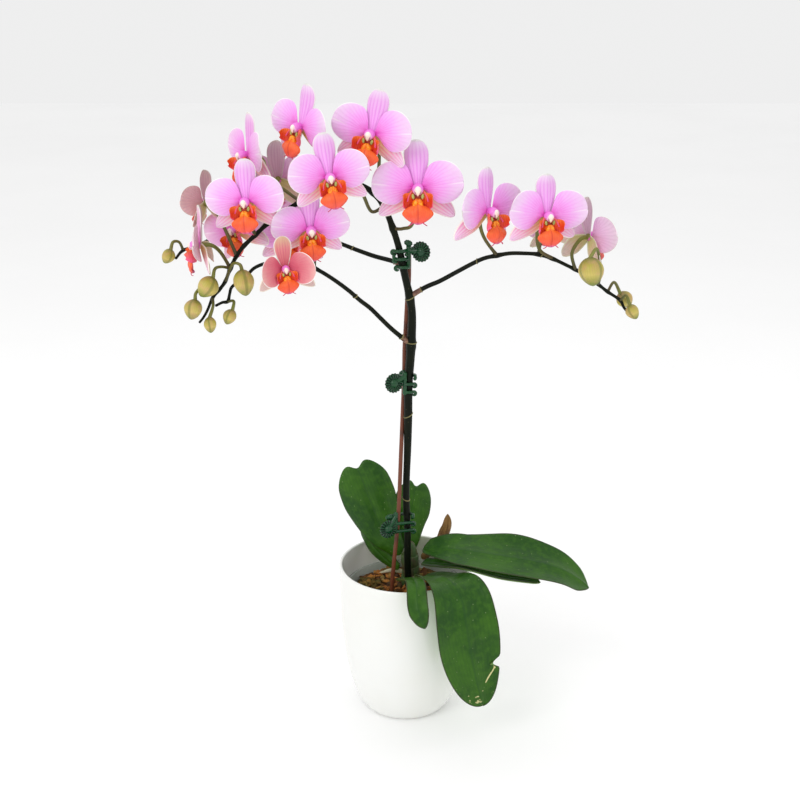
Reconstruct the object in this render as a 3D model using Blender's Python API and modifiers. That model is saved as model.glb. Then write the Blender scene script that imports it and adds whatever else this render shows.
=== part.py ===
"""Potted moth orchid: glazed pot, clear nursery pot, bark, crown, leaves, flower spike, stake, clips.

Metres, +Z up.  The origin is the centre of the pot's underside, and the spray faces -Y.
Points in the tables are millimetres (x, y, height above the pot's rim).
"""
import math

import bmesh
import bpy
from mathutils import Matrix, Vector

MM = 0.001

# Pots and bark
POT_HEIGHT = 155 * MM
POT_RIM_RADIUS = 66 * MM
POT_FOOT_RADIUS = 40 * MM
POT_WALL = 3.0 * MM
POT_FLOOR = 3.6 * MM              # thickness of the pot's floor
LINER_DROP = 27 * MM              # liner's rim below the pot's rim
LINER_WALL = 1.2 * MM
LINER_RIM_HEIGHT = 3.0 * MM       # the liner's stiffening rim
LINER_RIM_STEP = 1.0 * MM         # how far its wall steps in below that rim
LINER_CLEARANCE = 1.0 * MM        # between liner and pot wall
MEDIUM_DROP = 32 * MM             # mean bark level below the pot's rim
BARK_BUMP = 2.5 * MM
SEAT_GAP = 0.4 * MM               # between touching pieces

# Plant
CROWN_RADIUS = 9 * MM
CROWN_AT = (5, 17)                # axis of the short stem, mm
CROWN_TOP = 14 * MM               # above the pot's rim
CROWN_ROOT = 18 * MM              # depth in the bark
LEAF_THICKNESS = 2.0 * MM
SPIKE_RADIUS = 3.5 * MM
BRANCH_RADIUS = 2.0 * MM
PEDICEL_RADIUS = 1.7 * MM
FLOWER_SPAN = 72 * MM             # petal tip to petal tip of a full flower
SPRAY_SPAN = 72 * MM              # flower span that the spray's points are spaced for
TEPAL_THICKNESS = 0.9 * MM
HUB_RADIUS = FLOWER_SPAN / 24
JOIN_GAP = 0.8 * MM               # between a pedicel's end and its flower or bud

# Support
STAKE_RADIUS = 2.0 * MM
STAKE_SIDE_GAP = 0.8 * MM         # between stake and stem where they cross
CLIP_WIRE = 1.2 * MM
CLIP_CLEARANCE = 0.6 * MM
CLIP_HEAD_RADIUS = 8.5 * MM
CLIP_HEAD_THICKNESS = 3.0 * MM
CLIP_RIBS = 12

SPRAY_ROOT = (6, 3, 215)          # the spray grows from here with the flowers' size

# Main stem, from the crown up, over to the left and down to its tip
MAIN = [
    (3, 2, -27), (2, 1, 2), (2, 2, 35), (1, 3, 56), (1, 4, 77), (2, 4, 119), (4, 4, 155), (5, 4, 186),
    (6, 3, 215), (5, 2, 250), (2, 1, 269), (-1, 0, 294), (-6, 0, 317), (-12, 0, 337), (-20, 0, 357),
    (-30, -2, 370), (-43, -6, 378), (-59, -10, 379), (-75, -15, 375), (-94, -20, 365), (-108, -24, 357),
    (-123, -28, 347), (-134, -30, 337), (-144, -32, 328), (-151, -33, 319), (-157, -34, 308),
    (-162, -35, 296), (-168, -35, 288), (-174, -35, 281), (-179, -35, 270), (-183, -35, 263),
    (-187, -35, 258),
]
RIGHT = [
    (2, 1, 272), (18, 0, 282), (31, -1, 288), (45, -2, 296), (59, -3, 304), (71, -4, 310), (83, -5, 313),
    (95, -5, 315), (108, -5, 315), (121, -5, 314), (134, -5, 310), (147, -5, 304), (155, -5, 300),
    (166, -5, 294), (177, -5, 286), (186, -5, 279), (198, -5, 271), (202, -5, 264), (209, -5, 256),
]
BACK_LEFT = [
    (-3, 0, 303), (-13, 4, 306), (-29, 10, 309), (-44, 16, 313), (-54, 20, 316), (-71, 27, 321),
    (-90, 34, 326), (-108, 40, 329), (-128, 44, 330), (-148, 46, 328), (-167, 46, 324), (-184, 42, 319),
    (-196, 34, 314), (-208, 22, 312), (-214, 14, 306),
]
LOW_LEFT = [
    (5, 3, 226), (-7, -2, 237), (-15, -5, 245), (-24, -8, 255), (-33, -11, 265), (-42, -14, 273),
    (-51, -17, 282), (-60, -20, 290), (-69, -22, 297), (-76, -24, 302), (-83, -25, 306), (-95, -27, 311),
    (-109, -28, 312), (-120, -28, 312), (-129, -28, 310), (-137, -27, 306), (-144, -26, 299),
    (-152, -25, 293), (-158, -25, 288), (-160, -25, 282), (-162, -25, 275), (-167, -25, 274),
    (-173, -25, 271),
]
STEMS = {"main": MAIN, "right": RIGHT, "back_left": BACK_LEFT, "low_left": LOW_LEFT}

# Flowers: name, centre, (yaw, pitch, roll) in degrees, size as a share of FLOWER_SPAN,
# stem, its point, and the pedicel's points on the way.  Yaw 0 faces -Y, positive turns to +X.
FLOWERS = [
    ("flower_01", (-141, -52, 374), (-8, 0, 0), 1.0, "main", 22, [(-138, -38, 352)]),
    ("flower_02", (-66, -65, 390), (12, 0, 0), 1.02, "main", 14, [(-31, -8, 354), (-38, -22, 371), (-44, -36, 384)]),
    ("flower_03", (-97, -20, 430), (-38, 0, 8), 1.06, "main", 18, [(-79, -8, 400)]),
    ("flower_04", (-30, -36, 423), (-18, 0, 9), 1.05, "main", 15, [(-25, -6, 388), (-24, -16, 408)]),
    ("flower_05", (10, -34, 376), (0, 0, 0), 1.14, "main", 13, [(-3, -6, 338), (6, -14, 345)]),
    ("flower_06", (-83, -40, 341), (0, -8, 0), 1.0, "low_left", 10, [(-82, -20, 324)]),
    ("flower_07", (-104, -62, 315), (-10, 0, -10), 0.84, "low_left", 12, [(-107, -38, 309)]),
    ("flower_08", (-142, 0, 407), (-68, 0, 0), 1.0, "main", 21, [(-124, -12, 372), (-127, 2, 394)]),
    ("flower_09", (-187, 13, 365), (-125, 0, 0), 0.86, "main", 24, [(-162, -24, 342)]),
    ("flower_10", (-183, -34, 334), (-88, -5, 0), 0.95, "main", 25, [(-166, -28, 321)]),
    ("flower_11", (-152, 8, 327), (-55, 0, 0), 0.95, "main", 23, [(-132, -24, 338), (-129, -2, 340), (-136, 14, 334)]),
    ("flower_12", (-108, 26, 321), (-10, 0, 0), 0.95, "back_left", 7, []),
    ("flower_13", (-117, 22, 381), (160, 0, 0), 0.95, "main", 19, [(-108, -6, 372)]),
    ("flower_14", (73, -26, 355), (42, 0, 0), 1.05, "right", 6, [(72, -8, 328), (67, -12, 341)]),
    ("flower_15", (122, -34, 357), (15, 0, 0), 1.0, "right", 10, [(121, -9, 320), (118, -15, 340)]),
    ("flower_16", (166, -8, 332), (103, 0, 0), 0.95, "right", 12, [(151, -9, 316)]),
    ("flower_17", (137, 32, 327), (200, 0, 0), 0.9, "right", 9, [(125, 8, 323)]),
]

# Buds: name, centre, direction of the tip, length and width in mm, stem, its point, pedicel's points
BUDS = [
    ("bud_01", (-221, 14, 308), (-0.4, 0.0, -0.9), 15, 12, "back_left", 13, [(-211, 20, 320), (-216, 16, 321)]),
    ("bud_02", (-176, -48, 294), (-0.5, -0.2, -0.8), 21, 18, "main", 25, [(-164, -42, 311), (-169, -46, 310)]),
    ("bud_03", (-190, -46, 273), (-0.2, -0.2, -0.95), 19, 16, "main", 27, [(-181, -37, 292), (-187, -45, 288)]),
    ("bud_04", (-144, -48, 298), (0.1, -0.2, -0.95), 24, 18, "main", 26, [(-154, -42, 313), (-147, -46, 314)]),
    ("bud_05", (-176, -43, 258), (0.1, -0.1, -0.98), 15, 11, "main", 28, [(-173, -42, 275)]),
    ("bud_06", (-160, -31, 262), (-0.4, -0.2, -0.9), 15, 12, "low_left", 20, [(-156, -29, 276)]),
    ("bud_07", (163, -48, 308), (0.1, -0.2, -0.95), 26, 22, "right", 14, [(176, -22, 302), (169, -38, 326)]),
    ("bud_08", (205, 10, 268), (0.6, 0.2, -0.75), 17, 15, "right", 15, [(193, 3, 286)]),
    ("bud_09", (208, -17, 263), (0.4, -0.2, -0.9), 15, 12, "right", 16, [(202, -12, 277)]),
]

# Leaves: name, midrib points, direction across, widest half width in mm, where it is widest,
# channel depth as a share of the half width, and the half width at the base in mm
LEAVES = [
    ("leaf_back_left", [(-5, 21, -2), (-22, 28, 22), (-31, 32, 48), (-39, 36, 72), (-46, 42, 90)],
     (0.94, 0.1, 0.34), 28, 0.62, 0.30, 7),
    ("leaf_back", [(5, 30, -2), (4, 38, 24), (7, 43, 44), (13, 49, 64)], (1, 0, -0.1), 17, 0.6, 0.35, 6),
    ("leaf_left_low", [(-7, 24, -20), (-28, 34, -5), (-36, 40, 5), (-45, 47, 18)],
     (0.6, -0.3, 0.7), 11, 0.6, 0.3, 5),
    ("leaf_right", [(18, 14, 8), (48, -8, 18), (85, -18, 17), (119, -22, 13), (150, -24, 5), (169, -25, -6),
                    (179, -26, -14)], (0, 1, 0.28), 29, 0.55, 0.12, 8),
    ("leaf_right_low", [(17, 10, -6), (36, -8, 1), (58, -22, 5), (92, -30, -1), (121, -35, -3),
                        (131, -38, -3)], (0.1, 1, 0.1), 9, 0.5, 0.45, 6),
    ("leaf_front_right", [(14, 5, -22), (26, -20, -6), (42, -50, 5), (52, -68, -3), (57, -79, -26),
                          (62, -81, -56), (68, -80, -86), (75, -77, -116)], (0.95, 0.3, 0.0), 31, 0.62, 0.10, 8),
    ("leaf_front", [(-7, 2, -22), (2, -25, -6), (9, -62, 9), (11, -84, -4), (14, -88, -14), (18, -89, -25)],
     (0.98, 0.15, 0.0), 10, 0.6, 0.12, 4),
    ("leaf_withered", [(17, 27, -10), (34, 33, 5), (42, 35, 20), (43, 37, 36)], (1, 0.2, 0), 6, 0.6, 0.35, 4),
]

# Clips: name, heights of the loops, height of the daisy head, and the head's place beside the stem
CLIPS = [
    ("clip_top", (318, 311, 297), 316, (15, -4)),
    ("clip_middle", (187, 179), 190, (-15, -10)),
    ("clip_bottom", (38, 31), 44, (-16, -19)),
]

COLOURS = {
    "pot": ((0.86, 0.87, 0.84, 1), 0.15, 0.0),
    "nursery_pot": ((0.75, 0.78, 0.76, 1), 0.2, 0.0),
    "growing_medium": ((0.16, 0.08, 0.03, 1), 0.9, 0.0),
    "crown": ((0.05, 0.10, 0.03, 1), 0.6, 0.0),
    "leaf": ((0.03, 0.12, 0.02, 1), 0.4, 0.0),
    "withered": ((0.28, 0.15, 0.05, 1), 0.8, 0.0),
    "spike": ((0.02, 0.03, 0.01, 1), 0.4, 0.0),
    "stake": ((0.14, 0.04, 0.03, 1), 0.6, 0.0),
    "clip": ((0.01, 0.07, 0.04, 1), 0.3, 0.0),
    "bud": ((0.50, 0.42, 0.12, 1), 0.5, 0.0),
    "petal": ((0.75, 0.36, 0.65, 1), 0.5, 0.0),
    "lip": ((0.85, 0.20, 0.05, 1), 0.5, 0.0),
}


# ---------------------------------------------------------------- helpers

def at(point):
    """A table's point in metres, measured from the rim's height."""
    return Vector((point[0] * MM, point[1] * MM, POT_HEIGHT + point[2] * MM))


def spray(point):
    """A point of the spray: above its root the spray spreads with the flowers' size."""
    root = at(SPRAY_ROOT)
    place = at(point)
    if place.z > root.z:
        place = root + (place - root) * (FLOWER_SPAN / SPRAY_SPAN)
    return place


def smooth_path(points, steps):
    """Points along a Catmull-Rom curve through the given points, with the same number in each span."""
    ends = [points[0] * 2 - points[1]] + list(points) + [points[-1] * 2 - points[-2]]
    path = []
    for i in range(len(points) - 1):
        before, start, end, after = ends[i:i + 4]
        for k in range(steps):
            t = k / steps
            path.append(0.5 * (2 * start + (end - before) * t
                               + (2 * before - 5 * start + 4 * end - after) * t ** 2
                               + (3 * start - before - 3 * end + after) * t ** 3))
    return path + [points[-1].copy()]


def along(path, share):
    """The point at a share of the path's count of spans."""
    place = min(max(share, 0.0), 1.0) * (len(path) - 1)
    index = min(int(place), len(path) - 2)
    return path[index].lerp(path[index + 1], place - index)


def at_height(path, height):
    """The point where the rising part of a path first reaches a height."""
    for low, high in zip(path, path[1:]):
        if low.z <= height <= high.z:
            return low.lerp(high, (height - low.z) / (high.z - low.z))
    return path[-1].copy()


def material(name):
    found = bpy.data.materials.get(name)
    if found:
        return found
    colour, roughness, metallic = COLOURS[name]
    made = bpy.data.materials.new(name)
    made.use_nodes = True
    shader = made.node_tree.nodes["Principled BSDF"]
    shader.inputs["Base Color"].default_value = colour
    shader.inputs["Roughness"].default_value = roughness
    shader.inputs["Metallic"].default_value = metallic
    made.diffuse_color = colour
    return made


def add(name, mesh, finish=None, matrix=None):
    """A new object in the orchid's collection."""
    piece = bpy.data.objects.new(name, mesh)
    collection.objects.link(piece)
    if finish and not mesh.materials:
        mesh.materials.append(material(finish))
    if matrix:
        piece.matrix_world = matrix
    return piece


def evaluated(piece):
    """The object's mesh with its modifiers applied; the object is removed."""
    bpy.context.view_layer.update()
    shape = piece.evaluated_get(bpy.context.evaluated_depsgraph_get())
    mesh = bpy.data.meshes.new_from_object(shape)
    mesh.transform(piece.matrix_world)
    bpy.data.objects.remove(piece)
    return mesh


def welded(mesh, distance=0.00001):
    bm = bmesh.new()
    bm.from_mesh(mesh)
    bmesh.ops.remove_doubles(bm, verts=bm.verts, dist=distance)
    bm.to_mesh(mesh)
    bm.free()
    return mesh


def tube(points, radii, bevel_resolution, cyclic=False):
    """A round tube along points: a bevelled curve made into a closed mesh."""
    curve = bpy.data.curves.new("tube", "CURVE")
    curve.dimensions = "3D"
    curve.bevel_depth = 1.0
    curve.bevel_resolution = bevel_resolution
    curve.use_fill_caps = not cyclic
    line = curve.splines.new("POLY")
    line.points.add(len(points) - 1)
    line.use_cyclic_u = cyclic
    for knot, place, radius in zip(line.points, points, radii):
        knot.co = (*place, 1)
        knot.radius = radius
    piece = bpy.data.objects.new("tube", curve)
    collection.objects.link(piece)
    mesh = welded(evaluated(piece))
    bpy.data.curves.remove(curve)
    return mesh


def fused(meshes, cut=False):
    """One mesh: the first with all the others joined to it, or cut from it."""
    base = add("fused", meshes[0])
    others = bpy.data.collections.new("others")
    for mesh in meshes[1:]:
        others.objects.link(bpy.data.objects.new("other", mesh))
    boolean = base.modifiers.new("Boolean", "BOOLEAN")
    boolean.operation = "DIFFERENCE" if cut else "UNION"
    boolean.operand_type = "COLLECTION"
    boolean.collection = others
    boolean.solver = "EXACT"
    mesh = evaluated(base)
    for other in list(others.objects):
        bpy.data.objects.remove(other)
    bpy.data.collections.remove(others)
    mesh.materials.clear()
    return welded(mesh, 0.000001)


def turned(profile, steps):
    """A closed turned mesh from an outline (radius, height) that starts and ends on the Z axis."""
    bm = bmesh.new()
    corners = [bm.verts.new((radius, 0, height)) for radius, height in profile]
    for first, second in zip(corners, corners[1:]):
        bm.edges.new((first, second))
    mesh = bpy.data.meshes.new("turned")
    bm.to_mesh(mesh)
    bm.free()
    piece = add("turned", mesh)
    screw = piece.modifiers.new("Screw", "SCREW")
    screw.steps = steps
    screw.render_steps = steps
    screw.use_merge_vertices = True
    screw.merge_threshold = 0.00001
    return evaluated(piece)


def sheet(rows, columns, place, thickness):
    """A grid bent by place(t, s), t from 0 to 1 along and s from -1 to 1 across, made solid."""
    bm = bmesh.new()
    bmesh.ops.create_grid(bm, x_segments=rows, y_segments=columns, size=1)
    for corner in bm.verts:
        corner.co = place((corner.co.x + 1) / 2, corner.co.y)
    mesh = bpy.data.meshes.new("sheet")
    bm.to_mesh(mesh)
    bm.free()
    piece = add("sheet", mesh)
    solid = piece.modifiers.new("Solidify", "SOLIDIFY")
    solid.thickness = thickness
    solid.offset = 0
    return evaluated(piece)


def facing(yaw, pitch, roll):
    """Turns a flower whose face is +Z and whose top is +Y towards its place in the spray."""
    return (Matrix.Rotation(math.radians(yaw), 4, "Z") @ Matrix.Rotation(math.radians(90 - pitch), 4, "X")
            @ Matrix.Rotation(math.radians(-roll), 4, "Z"))


# ---------------------------------------------------------------- pots and bark

def pot_radius(height):
    """Outer radius of the pot: a full shoulder that closes in towards the foot."""
    share = 1 - min(max(height / POT_HEIGHT, 0), 1)
    return POT_FOOT_RADIUS + (POT_RIM_RADIUS - POT_FOOT_RADIUS) * (1 - share ** 2.5) ** 0.6


def pot_inner_radius(height):
    return pot_radius(height) - POT_WALL


def pot_floor_radius():
    """Radius of the flat floor inside the pot."""
    return pot_inner_radius(POT_FLOOR * 2) * 0.92


def make_pot():
    lip = POT_WALL / 2
    heights = [POT_HEIGHT * share for share in (0.0, 0.03, 0.08, 0.16, 0.28, 0.44, 0.64, 0.84)]
    outer = [(pot_radius(z), z) for z in reversed(heights)]
    top = POT_HEIGHT - lip
    edge = pot_radius(top) - lip
    arc = [(edge + lip * math.cos(a), top + lip * math.sin(a)) for a in (math.pi, math.pi * 0.5, 0.0)]
    inner = [(pot_inner_radius(z), z) for z in heights[2:]]
    profile = [(0, POT_FLOOR), (pot_floor_radius(), POT_FLOOR)] + inner + arc + outer + [(0, 0)]
    add("pot", turned(profile, 36), "pot")


def liner_radius(height):
    """Outer radius of the nursery pot: a straight taper that stands on the pot's floor inside its wall."""
    low = liner_bottom()
    high = POT_HEIGHT - LINER_DROP
    wide = pot_inner_radius(high) - LINER_CLEARANCE
    narrow = pot_floor_radius() - LINER_CLEARANCE
    return narrow + (wide - narrow) * (height - low) / (high - low)


def liner_bottom():
    return POT_FLOOR + SEAT_GAP


def make_liner():
    low = liner_bottom()
    high = POT_HEIGHT - LINER_DROP
    rim = high - LINER_RIM_HEIGHT
    wall = liner_radius(rim) - LINER_RIM_STEP
    profile = [(0, low + LINER_WALL), (liner_radius(low) - LINER_WALL, low + LINER_WALL),
               (wall - LINER_WALL, high), (liner_radius(high), high), (liner_radius(high), rim),
               (wall, rim), (liner_radius(low), low), (0, low)]
    add("nursery_pot", turned(profile, 28), "nursery_pot")


def bark_level(x, y):
    """Height of the bark: chips in low, uneven heaps."""
    wave = math.sin(x * 310 + 1.3) * math.cos(y * 270 - 0.4) + 0.6 * math.sin((x + y) * 520)
    return POT_HEIGHT - MEDIUM_DROP + BARK_BUMP * 0.6 * wave


def make_bark(holes):
    low = liner_bottom() + LINER_WALL + SEAT_GAP
    top = POT_HEIGHT - MEDIUM_DROP

    def inside(height):
        return liner_radius(height) - LINER_WALL - LINER_RIM_STEP * 1.5 - SEAT_GAP

    edge = top - 2 * BARK_BUMP
    rings = [(inside(top) * share, top) for share in (0, 0.3, 0.55, 0.78, 0.96)]
    mesh = turned(rings + [(inside(edge), edge), (inside(low), low), (0, low)], 28)
    for corner in mesh.vertices:
        if corner.co.z > top - BARK_BUMP:
            corner.co.z = bark_level(corner.co.x, corner.co.y)
    add("growing_medium", fused([mesh] + holes, cut=True), "growing_medium")


# ---------------------------------------------------------------- crown and leaves

def crown_mesh(clearance=0.0):
    """The short stem that carries the leaves: a blunt spindle, fatter by the clearance as a cutter."""
    radius = CROWN_RADIUS + clearance
    low = POT_HEIGHT - MEDIUM_DROP - CROWN_ROOT - clearance
    high = POT_HEIGHT + CROWN_TOP + clearance
    span = high - low
    profile = [(0, high), (radius * 0.45, high - 0.03 * span), (radius * 0.8, high - 0.16 * span),
               (radius, high - 0.4 * span), (radius, low + 0.25 * span), (radius * 0.7, low), (0, low)]
    mesh = turned(profile, 16)
    mesh.transform(Matrix.Translation((CROWN_AT[0] * MM, CROWN_AT[1] * MM, 0)))
    return mesh


def leaf_width(t, widest, base_share):
    """Half width as a share: it swells from the clasping base to the widest place, then rounds to the tip."""
    if t < widest:
        return base_share + (1 - base_share) * math.sin(math.pi / 2 * t / widest)
    return math.sqrt(max(1 - ((t - widest) / (1 - widest)) ** 2.4, 0.02))


def make_leaf(name, midrib, across, half_width, widest, channel, base):
    path = smooth_path([at(point) for point in midrib], 4)
    side = Vector(across).normalized()

    def place(t, s):
        centre = along(path, t)
        forward = (along(path, t + 0.02) - along(path, t - 0.02)).normalized()
        out = (side - forward * side.dot(forward)).normalized()
        up = out.cross(forward)
        width = half_width * MM * leaf_width(t, widest, base / half_width)
        fold = max(channel, 0.6 * (1 - t * 4))
        bend = math.atan(fold)
        return centre + out * (s * width * math.cos(bend)) - up * (abs(s) * width * math.sin(bend))

    finish = "withered" if name == "leaf_withered" else "leaf"
    add(name, sheet(10, 4, place, LEAF_THICKNESS), finish)


# ---------------------------------------------------------------- flowers and buds

def tepal(angle, length, half_width, widest, lean, cup, rows, columns):
    """One petal or sepal, growing at an angle around the flower's axis (+Z) from its centre."""
    turn = Matrix.Rotation(math.radians(angle), 3, "Z")

    def place(t, s):
        swell = math.sin(math.pi / 2 * min(t / widest, 1)) ** 1.2
        if t > widest:
            swell = math.sqrt(max(1 - ((t - widest) / (1 - widest)) ** 2, 0.04))
        width = HUB_RADIUS * 0.6 * (1 - t) + half_width * swell
        reach = length * t
        height = reach * math.sin(math.radians(lean)) - cup * s * s * swell
        return turn @ Vector((reach * math.cos(math.radians(lean)), s * width, height))

    return sheet(rows, columns, place, TEPAL_THICKNESS)


def cone(low_radius, high_radius, low, high, segments=8):
    """A capped cone between two points."""
    bm = bmesh.new()
    axis = high - low
    bmesh.ops.create_cone(bm, cap_ends=True, segments=segments, radius1=low_radius, radius2=high_radius,
                          depth=axis.length)
    turn = Vector((0, 0, 1)).rotation_difference(axis).to_matrix().to_4x4()
    bmesh.ops.transform(bm, matrix=Matrix.Translation((low + high) / 2) @ turn, verts=bm.verts)
    mesh = bpy.data.meshes.new("cone")
    bm.to_mesh(mesh)
    bm.free()
    return mesh


def flower_mesh():
    """Two petals, three sepals and the column, grown together; the face is +Z and the top +Y."""
    half = FLOWER_SPAN / 2
    parts = [
        cone(HUB_RADIUS * 0.8, HUB_RADIUS, Vector((0, 0, -HUB_RADIUS * 0.6)), Vector((0, 0, half * 0.24)), 6),
        tepal(90, half, half * 0.29, 0.5, 2, 1 * MM, 3, 2),
        tepal(-38, half * 0.96, half * 0.27, 0.5, -14, 1 * MM, 3, 2),
        tepal(-142, half * 0.96, half * 0.27, 0.5, -14, 1 * MM, 3, 2),
        tepal(8, half * 1.01, half * 0.46, 0.58, 11, 1.5 * MM, 3, 2),
        tepal(172, half * 1.01, half * 0.46, 0.58, 11, 1.5 * MM, 3, 2),
    ]
    mesh = fused(parts)
    mesh.materials.append(material("petal"))
    return mesh


def lip_mesh():
    """The labellum: a keeled middle lobe that comes forward and down, between two raised side lobes."""
    half = FLOWER_SPAN / 2
    root = Vector((0, -HUB_RADIUS - 2.0 * MM, 5.0 * MM))

    def middle(t, s):
        spread = half * (0.10 + 0.24 * math.sin(math.pi * min(t * 1.1, 1)))
        return root + Vector((s * spread, -half * 0.72 * t, half * (0.34 * math.sin(t * 2.4)) - abs(s) * 1 * MM))

    def lobe(side):
        def place(t, s):
            return root + Vector((side * half * (0.05 + 0.26 * t), half * (0.17 * s - 0.12 + 0.04 * t),
                                  half * (0.10 + 0.16 * t)))
        return place

    parts = [sheet(3, 2, middle, 1.6 * MM), sheet(1, 1, lobe(1), 1.2 * MM), sheet(1, 1, lobe(-1), 1.2 * MM)]
    mesh = fused(parts)
    mesh.materials.append(material("lip"))
    return mesh


def bud_mesh():
    """An egg of unit length and width along +Z, blunt at the base and narrowed at the tip."""
    bm = bmesh.new()
    bmesh.ops.create_uvsphere(bm, u_segments=8, v_segments=6, radius=0.5)
    for corner in bm.verts:
        narrow = 1 - 0.35 * (corner.co.z + 0.5) ** 2
        corner.co.x *= narrow
        corner.co.y *= narrow
    mesh = bpy.data.meshes.new("bud")
    bm.to_mesh(mesh)
    bm.free()
    mesh.materials.append(material("bud"))
    return mesh


def make_flowers():
    blossom = flower_mesh()
    labellum = lip_mesh()
    for name, centre, turn, size, *_ in FLOWERS:
        matrix = Matrix.Translation(spray(centre)) @ facing(*turn) @ Matrix.Scale(size, 4)
        add(name, blossom, matrix=matrix)
        add(name.replace("flower", "lip"), labellum, matrix=matrix)


def bud_size(length, width):
    grow = FLOWER_SPAN / SPRAY_SPAN * MM
    return length * grow, width * grow


def make_buds():
    egg = bud_mesh()
    for name, centre, tip, length, width, *_ in BUDS:
        long, wide = bud_size(length, width)
        turn = Vector((0, 0, 1)).rotation_difference(Vector(tip)).to_matrix().to_4x4()
        matrix = Matrix.Translation(spray(centre)) @ turn @ Matrix.Diagonal((wide, wide, long, 1))
        add(name, egg, matrix=matrix)


# ---------------------------------------------------------------- spike

def stem_path(name):
    return [spray(point) for point in STEMS[name]]


def main_radii(count):
    """Thick and even up to the top clip, then a taper along the arch to a thin tip."""
    bend = 12 / (len(MAIN) - 1)
    radii = []
    for i in range(count):
        t = i / (count - 1)
        if t < bend:
            radii.append(SPIKE_RADIUS * (1 - 0.12 * t / bend))
        else:
            radii.append(SPIKE_RADIUS * (0.88 - 0.56 * ((t - bend) / (1 - bend)) ** 0.7))
    return radii


def flower_pedicel(centre, turn, size):
    """The last points of a pedicel: behind the flower, and its end just clear of the hub."""
    back = -(facing(*turn).to_3x3() @ Vector((0, 0, 1)))
    place = spray(centre)
    end = place + back * (HUB_RADIUS * 0.6 * size + JOIN_GAP)
    return [end + back * 8 * MM + Vector((0, 0, -1.5 * MM)), end]


def bud_pedicel(centre, tip, length):
    back = -Vector(tip).normalized()
    long, _ = bud_size(length, length)
    end = spray(centre) + back * (long / 2 + JOIN_GAP)
    return [end]


def make_spike():
    """Main stem, three branches and every pedicel: grown as one piece."""
    main = stem_path("main")
    meshes = [tube(main, main_radii(len(main)), 2)]
    for name in ("right", "back_left", "low_left"):
        path = stem_path(name)
        last = len(path) - 1
        meshes.append(tube(path, [BRANCH_RADIUS * (1 - 0.45 * i / last) for i in range(last + 1)], 1))
    for _, centre, turn, size, stem, index, mids in FLOWERS:
        start = spray(STEMS[stem][index])
        points = [start] + [spray(mid) for mid in mids] + flower_pedicel(centre, turn, size)
        path = smooth_path(points, 2)
        meshes.append(tube(path, [PEDICEL_RADIUS] * len(path), 1))
    for _, centre, tip, length, _, stem, index, mids in BUDS:
        start = spray(STEMS[stem][index])
        path = smooth_path([start] + [spray(mid) for mid in mids] + bud_pedicel(centre, tip, length), 2)
        meshes.append(tube(path, [PEDICEL_RADIUS * 0.8] * len(path), 0))
    add("spike", fused(meshes), "spike")
    return main


# ---------------------------------------------------------------- stake and clips

def stake_path(main):
    """A thin rod beside the stem: it passes behind the stem below the top clip."""
    crossing = at_height(main, spray((0, 0, 250)).z)
    behind = SPIKE_RADIUS + STAKE_RADIUS + STAKE_SIDE_GAP
    side = Vector((-behind - 1.5 * MM, -1.5 * MM, 0))
    middle = at_height(main, at((0, 0, 186)).z) + side
    top = spray((3, 10, 322))
    return [Vector((-15 * MM, -13 * MM, POT_HEIGHT - MEDIUM_DROP - 70 * MM)), at((-14, -13, -22)), at((-9, -8, 50)),
            middle, crossing + Vector((-1 * MM, behind, 0)), top]


def loop_points(first, first_radius, second, second_radius, count):
    """The line of a wire bent around two rods: each point is the outermost one in its direction."""
    points = []
    for i in range(count):
        angle = 2 * math.pi * i / count
        out = Vector((math.cos(angle), math.sin(angle), 0))
        reach = [(first + out * first_radius), (second + out * second_radius)]
        points.append(max(reach, key=lambda p: p.dot(out)))
    return points


def make_clip(name, heights, head_height, offset, main, stake):
    """A plant clip: open-looking wire loops round stem and stake, a back bar and a ribbed daisy head."""
    level = spray if name == "clip_top" else at
    middle = at_height(main, level((0, 0, head_height)).z)
    head = middle + Vector((offset[0] * MM, offset[1] * MM, 0))
    towards = (head - middle)
    towards.z = 0
    towards.normalize()
    meshes = []
    bar = []
    for height in heights:
        z = level((0, 0, height)).z
        stem = at_height(main, z)
        rod = at_height(stake, z)
        stem_loop = SPIKE_RADIUS + CLIP_CLEARANCE + CLIP_WIRE
        rod_loop = STAKE_RADIUS + CLIP_CLEARANCE + CLIP_WIRE
        line = loop_points(stem, stem_loop, rod, rod_loop, 12)
        meshes.append(tube(line, [CLIP_WIRE] * len(line), 0, cyclic=True))
        bar.append(max(line, key=lambda p: p.dot(towards)))
    bar.append(head)
    bar.sort(key=lambda p: p.z)
    meshes.append(tube(bar, [CLIP_WIRE * 1.3] * len(bar), 1))
    disc = cone(CLIP_HEAD_RADIUS, CLIP_HEAD_RADIUS, head + Vector((0, CLIP_HEAD_THICKNESS / 2, 0)),
                head - Vector((0, CLIP_HEAD_THICKNESS / 2, 0)), CLIP_RIBS * 2)
    for i, corner in enumerate(disc.vertices):
        if (i // 2) % 2:
            flat = Vector((head.x, corner.co.y, head.z))
            corner.co = flat + (corner.co - flat) * 0.9
    meshes.append(disc)
    add(name, fused(meshes), "clip")


def make_stake(main):
    path = smooth_path(stake_path(main), 3)
    add("stake", tube(path, [STAKE_RADIUS] * len(path), 2), "stake")
    return path


# ---------------------------------------------------------------- the orchid

for old in list(bpy.data.objects):
    bpy.data.objects.remove(old)
collection = bpy.data.collections.new("potted_orchid")
bpy.context.scene.collection.children.link(collection)

make_pot()
make_liner()
stem_line = make_spike()
stake_line = make_stake(stem_line)
stake_hole = tube(stake_line[:7], [STAKE_RADIUS + SEAT_GAP] * 7, 2)
make_bark([crown_mesh(SEAT_GAP), stake_hole])
add("crown", crown_mesh(), "crown")
for leaf in LEAVES:
    make_leaf(*leaf)
make_flowers()
make_buds()
for clip in CLIPS:
    make_clip(*clip, stem_line, stake_line)
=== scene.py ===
import math

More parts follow.
